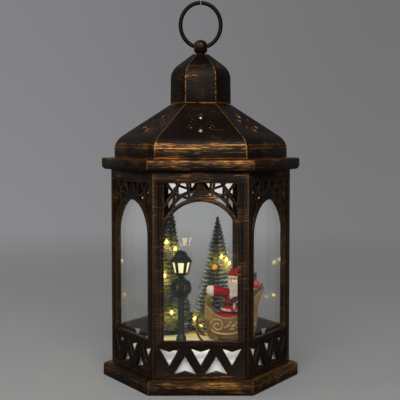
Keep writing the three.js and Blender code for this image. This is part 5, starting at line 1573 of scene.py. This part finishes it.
def make_rider_hands(black, fur):
    """The cuffs and mittens of both arms."""
    cuff = bmesh.new()
    add_ball(cuff, (-16.2, -7.6, 42.7), (3.1, 4.6, 4.7))
    add_ball(cuff, (-15.2, -7.6, 42.7), (2.2, 4.8, 4.8))
    tufted(clay("rider_cuff_finish", cuff, fur, 0.35, 2), "white_paint", "rider_cuff")
    far_cuff = bmesh.new()
    add_fur_ring(far_cuff, (4.4, -7.5, 35.7), 2.2, 1.0, Vector((-0.8, -0.55, 0.4)))
    tufted(clay("rider_far_cuff", far_cuff, fur, 0.35, 2), "white_paint")
    mitten = bmesh.new()
    limb(mitten, (-15.9, -7.5, 46.4), (-15.5, -7.5, 49.6), 2.2, 2.6)
    limb(mitten, (-14.6, -7.6, 47.2), (-13.2, -7.8, 48.8), 1.0, 1.0)
    hand_over(clay("rider_mitten_finish", mitten, black, 0.3), "black_paint", "rider_mitten")
    far_mitten = bmesh.new()
    limb(far_mitten, (3.6, -8.2, 35.9), (1.6, -8.8, 35.0), 1.9, 2.1)
    limb(far_mitten, (3.0, -8.9, 36.6), (2.2, -9.3, 37.4), 0.9, 0.8)
    hand_over(clay("rider_far_mitten", far_mitten, black, 0.3), "black_paint")


def add_fur_ring(shape, centre, radius, thickness, axis):
    """A thick round trim about an axis."""
    side = axis.orthogonal().normalized()
    up = axis.normalized().cross(side)
    middle = Vector(centre)
    route = [middle + side * radius * math.cos(a) + up * radius * math.sin(a) for a in angles(32)]
    add_tube(shape, route, thickness, 10, closed=True)


def tufted(piece, slot, *nodes):
    """Roughens a fur trim and hands it over."""
    ruffled(piece, 0.5, (1.5, 1.5, 1.5))
    return hand_over(piece, slot, *nodes)


def make_rider_head(skin, fur, red, black):
    """The head, eyes, beard and hat."""
    x, y, z = HEAD
    head = bmesh.new()
    add_ball(head, HEAD, (4.7, 4.9, 5.0))
    add_ball(head, (x, y - 4.7, z - 0.3), (0.95, 1.0, 0.95))
    for side in (-1, 1):
        add_ball(head, (x + side * 2.3, y - 3.9, z - 0.7), (1.45, 1.2, 1.2))
        add_ball(head, (x + side * 1.9, y - 4.4, z + 1.9), (1.2, 0.6, 0.5))
        add_ball(head, (x + side * 4.7, y - 0.2, z - 0.2), (0.6, 1.0, 1.3))
    hand_over(clay("rider_head_finish", head, skin, 0.26, 3), "skin_paint", "rider_head")
    eyes = bmesh.new()
    for side in (-1, 1):
        add_ball(eyes, (x + side * 1.9, y - 4.72, z + 0.85), (0.5, 0.35, 0.55), 14, 10)
    completed("rider_eyes", eyes, black, "black_paint", at=SLEIGH)

    beard = bmesh.new()
    add_ball(beard, (x, y - 4.4, z - 7.2), (5.6, 3.4, 6.6))
    add_ball(beard, (x - 0.4, y - 5.4, z - 11.4), (4.9, 2.6, 5.4))
    for side in (-1, 1):
        add_ball(beard, (x + side * 4.5, y - 1.6, z - 3.6), (2.3, 3.4, 4.6))
        add_ball(beard, (x + side * 5.0, y + 0.8, z + 0.2), (1.6, 3.4, 3.4))
        limb(beard, (x + side * 0.5, y - 5.5, z - 2.0), (x + side * 3.7, y - 5.0, z - 3.6), 1.0, 0.7)
    add_ball(beard, (x, y + 3.4, z - 1.5), (5.2, 2.6, 5.2))
    whiskers = clay("rider_beard_finish", beard, fur, 0.32, 3)
    ruffled(whiskers, 0.8, (1.1, 1.1, 0.3))
    hand_over(whiskers, "white_paint", "rider_beard")

    band = bmesh.new()
    add_tube(band, oval((x, y + 0.2, z + 2.7), 5.6, 5.2), 1.35, 10, closed=True)
    tufted(clay("hat_band_finish", band, fur, 0.32, 2), "white_paint", "hat_band")
    hat = bmesh.new()
    add_ball(hat, (x, y + 0.4, z + 4.2), (6.4, 6.0, 5.6))
    limb(hat, (x + 1.2, y + 0.6, z + 6.4), (x + 6.4, y + 1.2, z + 6.4), 3.6, 2.2)
    limb(hat, (x + 6.4, y + 1.2, z + 6.4), (x + 8.6, y + 1.6, z + 4.2), 2.1, 1.2)
    cap = ruffled(clay("rider_hat_finish", hat, red, 0.35), 0.5, (0.35, 0.35, 0.35))
    hand_over(cap, "red_paint", "rider_hat")
    tip = bmesh.new()
    add_ball(tip, (x + 8.8, y + 1.4, z + 2.6), (1.7, 1.7, 1.7))
    tufted(clay("rider_hat_tip", tip, fur, 0.3, 2), "white_paint")


# Gifts

def make_gifts():
    gold = aged_gold_finish()
    make_sack(gold)
    make_gift_box(gold)
    glaze = plastic_finish("red_bauble", tint(178, 22, 34), 0.25)
    make_bauble("gift_ball", "gift_ball_finish", glaze, gold, "red_paint")
    make_garland()


def make_sack(gold):
    """A filled sack with soft folds and a tie near its top."""
    low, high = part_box("gift_sack")
    centre = middle_of("gift_sack") - Vector(SLEIGH)
    bottom, top = low.z / MM - SLEIGH[2], high.z / MM - SLEIGH[2]
    sack = cloth_finish("sack_cloth", tint(104, 68, 40), 0.15, 1000, 0.85)
    shape = bmesh.new()

    def folds(angle, height):
        share = (height - bottom) / (top - bottom)
        return 1 + 0.07 * share * math.cos(9 * angle + 2 * math.sin(3 * angle))

    profile = [(0, bottom), (3.6, bottom), (4.2, bottom + 1.4), (4.45, bottom + 5), (4.4, bottom + 11),
               (4.1, bottom + 17), (3.6, bottom + 22), (3.4, top - 4), (3.6, top - 2),
               (4.0, top - 0.5), (3.8, top - 0.1), (0, top - 0.3)]
    add_turned(shape, profile, 48, (0, 0), folds)
    bmesh.ops.scale(shape, vec=(0.62, 1.9, 1), verts=shape.verts)
    bmesh.ops.translate(shape, vec=(centre.x, centre.y, 0), verts=shape.verts)
    completed("gift_sack_finish", shape, sack, "sack_paint", "gift_sack", at=SLEIGH, smooth=60)
    cord = bmesh.new()
    add_tube(cord, oval((centre.x, centre.y, top - 5), 2.3, 6.9), 0.5, 8, closed=True)
    completed("gift_sack_tie", cord, gold, "gold_paint", at=SLEIGH)


def make_gift_box(gold):
    """A box with a lid, two ribbons round it and a bow."""
    low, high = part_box("gift_box")
    a, b = low / MM - Vector(SLEIGH), high / MM - Vector(SLEIGH)
    teal = cloth_finish("teal_paper", tint(24, 58, 62), 0.0, 500, 0.4)
    shape = bmesh.new()
    add_block(shape, a + Vector((0.15, 0.15, 0)), Vector((b.x - 0.15, b.y - 0.15, b.z - 3.2)))
    add_block(shape, Vector((a.x, a.y, b.z - 3.1)), Vector((b.x, b.y, b.z - 0.9)))
    box = new_piece("gift_box_finish", in_metres(shape, SLEIGH), teal)
    bevelled(box, 0.25 * MM)
    hand_over(smooth_faces(box), "teal_paint", "gift_box")
    ribbon = bmesh.new()
    mid = (a + b) / 2
    add_block(ribbon, (mid.x - 0.7, a.y - 0.1, a.z + 0.1), (mid.x + 0.7, b.y + 0.1, b.z - 0.8))
    add_block(ribbon, (a.x - 0.1, mid.y - 0.7, a.z + 0.1), (b.x + 0.1, mid.y + 0.7, b.z - 0.8))
    for side in (-1, 1):
        loop = curve_points((0, 0, 0), ((side * 1.0, 0, 1.6), (side * 2.8, 0, 1.4), (side * 2.4, 0, 0.2)),
                            ((side * 2.0, 0, -0.5), (side * 0.8, 0, -0.3), (0, 0, 0)), steps=8)
        ribbon_strip(ribbon, [p + Vector((mid.x, mid.y, b.z - 0.6)) for p in loop], 1.1, Vector((0, 1, 0)))
    completed("gift_box_ribbon", ribbon, gold, "gold_paint", at=SLEIGH)


def make_garland():
    """Needles and gold specks on the sleigh's front edge."""
    low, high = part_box("sleigh_garland")
    reach = (high.y - low.y) / 2 / MM
    shape = bmesh.new()
    route = [(0, reach * (2 * k / 20 - 1) * 0.93, 0.35 * math.sin(1.3 * k)) for k in range(21)]
    add_tube(shape, route, [1.9 * math.sqrt(max(0.15, 1 - (k / 10 - 1) ** 4)) for k in range(21)], 10)
    centre = middle_of("sleigh_garland")
    garland = new_piece("sleigh_garland_needles", in_metres(shape, centre), evergreen_finish())
    green = cloth_finish("garland_green", tint(112, 112, 44), 0.0, 900)
    bead = plastic_finish("garland_bead", tint(216, 156, 58), 0.3)
    sprig_recipe().applied(garland, Needles=1100, Length=2.3 * MM, Thickness=0.2 * MM, Berries=60,
                           Berry=0.9 * MM, Seed=8, Green=green, Bright=bead)
    hand_over(garland, "evergreen", "sleigh_garland")


def make_bauble(node, name, glaze, cap, slot):
    """A glass ball with a cap of another finish."""
    low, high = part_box(node)
    centre = middle_of(node)
    radius = (high.x - low.x) / 2 / MM
    top = high.z / MM
    shape = bmesh.new()
    middle = low.z / MM + radius
    add_ball(shape, (centre.x, centre.y, middle), (radius,) * 3, 32, 20)
    count = len(shape.faces)
    crown = min(top - 0.1, middle + radius + 0.8)
    neck = middle + radius * 0.9
    add_turned(shape, [(0, neck), (radius * 0.3, neck), (radius * 0.3, crown - 0.15), (radius * 0.22, crown),
                       (0, crown)], 16, (centre.x, centre.y))
    shape.faces.ensure_lookup_table()
    for face in shape.faces[count:]:
        face.material_index = 1
    bauble = smooth_faces(new_piece(name, in_metres(shape), glaze, cap), 40)
    return hand_over(bauble, slot, node)


def make_tree_bauble():
    amber = plastic_finish("amber_bauble", tint(232, 160, 40), 0.25)
    make_bauble("tree_bauble", "tree_bauble_finish", amber, aged_gold_finish(), "gold_paint")


# Stage

CAMERA = {"lens": 91.27, "place": (-0.5, -810, 196), "down": 3.86}
LOW_CARD = {"up": (-0.0614, -0.0506), "across": (-0.08, 0.082)}
HIGH_CARD = {"up": (0.0, 0.0195), "across": (-0.02, 0.02)}


def place_camera(scene):
    """The camera, which was fitted to the photo."""
    lens = bpy.data.cameras.new("photo_camera")
    lens.lens = CAMERA["lens"]
    lens.sensor_width = 36
    lens.clip_start = 0.01
    camera = bpy.data.objects.new("photo_camera", lens)
    camera.location = [value * MM for value in CAMERA["place"]]
    camera.rotation_euler = (math.radians(90 - CAMERA["down"]), 0, 0)
    scene.collection.objects.link(camera)
    scene.camera = camera


def make_stage():
    look = bpy.context.scene.lantern_stage
    scene = bpy.context.scene
    scene.view_settings.view_transform = "Standard"
    place_camera(scene)
    disc = bmesh.new()
    bmesh.ops.create_circle(disc, cap_ends=True, segments=96, radius=3.0)
    new_piece("floor", disc, floor_finish(look))
    scene.world = backdrop(look)
    soft_light("key_light", (-0.1, -1.4, 1.05), 1.7, look.key)
    soft_light("side_light", (-1.3, -0.3, 0.9), 1.2, look.key * 0.1)


def floor_finish(look):
    """A plain floor that fades into the backdrop far from the lantern; painted light makes it a little
    lighter on the left, and it is painted dark in mirrors.
    """
    finish = Finish("floor")
    spot = finish.place()
    # Painted light: the floor is a little lighter on the left than on the right, as if lit from there.
    side = finish.smooth_step(finish.parts(spot)["X"], -0.25, 0.3)
    base = finish.blend(side, scaled(look.floor, 0.98), scaled(look.floor, 0.95))
    mottle = finish.smooth_step(finish.grain(spot, 6, 3), 0.3, 0.7, 0.0, 0.04)
    tone = finish.blend(mottle, base, (0.2, 0.2, 0.2))
    path = finish.add("ShaderNodeLightPath").outputs
    # Painted reflection: in mirrors the floor is painted much darker.
    tone = finish.blend(finish.math("MULTIPLY", finish.mirrored(path), 0.75), tone, (0.03, 0.03, 0.03))
    plain = finish.add("ShaderNodeBsdfDiffuse", {"Color": tone}).outputs[0]
    away = finish.add("ShaderNodeVectorMath", {0: spot}, operation="LENGTH").outputs["Value"]
    clear = finish.add("ShaderNodeBsdfTransparent").outputs[0]
    return finish.done(finish.either(finish.smooth_step(away, 0.35, 1.3), plain, clear))


def backdrop(look):
    """A grey backdrop with painted light that makes it lighter on the left, with two white cards behind the
    pierced work.
    """
    world = bpy.data.worlds.new("backdrop")
    world.use_nodes = True
    world.node_tree.nodes.clear()
    sky = Nodes(world.node_tree)
    direction = sky.parts(sky.add("ShaderNodeTexCoord").outputs["Generated"])
    path = sky.add("ShaderNodeLightPath").outputs

    def between(value, low, high, soft=0.0015):
        rise = sky.smooth_step(value, low, low + soft)
        return sky.math("MULTIPLY", rise, sky.smooth_step(value, high, high - soft))

    def white_card(card):
        rows = between(direction["Z"], *card["up"])
        return sky.math("MULTIPLY", rows, between(direction["X"], *card["across"]))

    # Painted light: the backdrop is lighter at mid height than high up, and lighter on the left than on the
    # right.
    tone = sky.blend(sky.smooth_step(direction["Z"], -0.22, 0.16), look.middle, look.top)
    side = sky.blend(sky.smooth_step(direction["X"], -0.22, 0.2), (1.15, 1.15, 1.16), (0.86, 0.86, 0.85))
    tone = sky.blend(1.0, tone, side, "MULTIPLY")
    cards = sky.math("ADD", white_card(LOW_CARD), white_card(HIGH_CARD))
    cards = sky.math("MULTIPLY", cards, sky.math("GREATER_THAN", direction["Y"], 0.5))
    cards = sky.math("MULTIPLY", cards, path["Is Camera Ray"])
    tone = sky.blend(cards, tone, (0.66, 0.66, 0.66))
    # Painted light: the backdrop is brighter where it is seen through the panes.
    through = sky.math("MULTIPLY_ADD", path["Is Transmission Ray"], 0.44, 1.0)
    # Painted reflection: mirrored rays see the backdrop darker, apart from straight behind the lantern.
    room = sky.math("MULTIPLY", sky.mirrored(path), sky.smooth_step(direction["Y"], 0.95, 0.35, 0.0, 0.8))
    strength = sky.math("SUBTRACT", through, room)
    shown = sky.add("ShaderNodeBackground", {"Color": tone, "Strength": strength}).outputs[0]
    even = sky.add("ShaderNodeBackground", {"Color": (1, 1, 1, 1), "Strength": look.ambient}).outputs[0]
    seen = sky.math("MAXIMUM", path["Is Camera Ray"], path["Is Glossy Ray"])
    seen = sky.math("MAXIMUM", seen, path["Is Transmission Ray"])
    sky.add("ShaderNodeOutputWorld", {"Surface": sky.either(seen, even, shown)})
    return world


def soft_light(name, place, size, power, aim=(0, 0, 0.14)):
    """A round soft light that is turned to the lantern."""
    lamp = bpy.data.lights.new(name, "AREA")
    lamp.shape = "DISK"
    lamp.size = size
    lamp.energy = power
    holder = bpy.data.objects.new(name, lamp)
    holder.location = place
    direction = Vector(aim) - Vector(place)
    holder.rotation_euler = direction.to_track_quat("-Z", "Y").to_euler()
    bpy.context.scene.collection.objects.link(holder)


# Operators and panel

class LANTERN_OT_stage(bpy.types.Operator):
    """Sets the camera, floor, backdrop and lights"""
    bl_idname = "lantern.stage"
    bl_label = "Stage"

    def execute(self, context):
        make_stage()
        return {"FINISHED"}


class LANTERN_OT_housing(bpy.types.Operator):
    """Dresses the walls, base, cornice, roof and cupola"""
    bl_idname = "lantern.housing"
    bl_label = "Housing"

    def execute(self, context):
        make_housing()
        return {"FINISHED"}


class LANTERN_OT_panes(bpy.types.Operator):
    """Gives the window panes their glass"""
    bl_idname = "lantern.panes"
    bl_label = "Panes"

    def execute(self, context):
        make_panes()
        return {"FINISHED"}


class LANTERN_OT_crown(bpy.types.Operator):
    """Makes the finial ball and the carrying ring"""
    bl_idname = "lantern.crown"
    bl_label = "Ball and ring"

    def execute(self, context):
        make_crown()
        return {"FINISHED"}


class LANTERN_OT_battery_tray(bpy.types.Operator):
    """Finishes the parts under the base"""
    bl_idname = "lantern.battery_tray"
    bl_label = "Battery tray"

    def execute(self, context):
        make_battery_tray()
        return {"FINISHED"}


class LANTERN_OT_snow(bpy.types.Operator):
    """Makes the snow ground"""
    bl_idname = "lantern.snow"
    bl_label = "Snow"

    def execute(self, context):
        make_snow()
        return {"FINISHED"}


class LANTERN_OT_trees(bpy.types.Operator):
    """Makes both bottle-brush trees"""
    bl_idname = "lantern.trees"
    bl_label = "Trees"

    def execute(self, context):
        make_trees()
        return {"FINISHED"}


class LANTERN_OT_light_strings(bpy.types.Operator):
    """Winds a light string round each tree"""
    bl_idname = "lantern.light_strings"
    bl_label = "Light strings"

    def execute(self, context):
        make_light_strings()
        return {"FINISHED"}


class LANTERN_OT_street_lamp(bpy.types.Operator):
    """Makes the street lamp"""
    bl_idname = "lantern.street_lamp"
    bl_label = "Street lamp"

    def execute(self, context):
        make_street_lamp()
        return {"FINISHED"}


class LANTERN_OT_wreath(bpy.types.Operator):
    """Hangs a wreath with a bow on the street lamp"""
    bl_idname = "lantern.wreath"
    bl_label = "Wreath"

    def execute(self, context):
        make_wreath()
        make_wreath_bow()
        return {"FINISHED"}


class LANTERN_OT_sleigh(bpy.types.Operator):
    """Makes the sleigh and its two runners"""
    bl_idname = "lantern.sleigh"
    bl_label = "Sleigh"

    def execute(self, context):
        make_sleigh()
        make_runners()
        return {"FINISHED"}


class LANTERN_OT_gifts(bpy.types.Operator):
    """Fills the sleigh and lays the garland on its edge"""
    bl_idname = "lantern.gifts"
    bl_label = "Gifts"

    def execute(self, context):
        make_gifts()
        return {"FINISHED"}


class LANTERN_OT_tree_bauble(bpy.types.Operator):
    """Hangs the bauble on the right tree"""
    bl_idname = "lantern.tree_bauble"
    bl_label = "Tree bauble"

    def execute(self, context):
        make_tree_bauble()
        return {"FINISHED"}


class LANTERN_OT_rider(bpy.types.Operator):
    """Makes the waving rider"""
    bl_idname = "lantern.rider"
    bl_label = "Rider"

    def execute(self, context):
        make_rider()
        return {"FINISHED"}


OPERATORS = [
    LANTERN_OT_stage, LANTERN_OT_housing, LANTERN_OT_panes, LANTERN_OT_crown,
    LANTERN_OT_battery_tray, LANTERN_OT_snow, LANTERN_OT_trees, LANTERN_OT_light_strings,
    LANTERN_OT_street_lamp, LANTERN_OT_wreath, LANTERN_OT_sleigh, LANTERN_OT_gifts,
    LANTERN_OT_tree_bauble, LANTERN_OT_rider,
]


class LANTERN_PT_panel(bpy.types.Panel):
    """Lists the steps that dress the lantern"""
    bl_label = "Lantern"
    bl_space_type = "VIEW_3D"
    bl_region_type = "UI"
    bl_category = "Lantern"

    def draw(self, context):
        for operator in OPERATORS:
            self.layout.operator(operator.bl_idname)


LOOKS = {
    "lantern_housing": HousingLook, "lantern_trees": TreeLook, "lantern_lights": LightLook,
    "lantern_figure": FigureLook, "lantern_stage": StageLook,
}
CLASSES = [*LOOKS.values(), *OPERATORS, LANTERN_PT_panel]


def register():
    for kind in CLASSES:
        bpy.utils.register_class(kind)
    for name, kind in LOOKS.items():
        setattr(bpy.types.Scene, name, PointerProperty(type=kind))


def unregister():
    for name in LOOKS:
        delattr(bpy.types.Scene, name)
    for kind in reversed(CLASSES):
        bpy.utils.unregister_class(kind)


def main():
    register()
    for operator in OPERATORS:
        getattr(bpy.ops.lantern, operator.bl_idname.split(".")[1])()


if __name__ == "__main__":
    main()
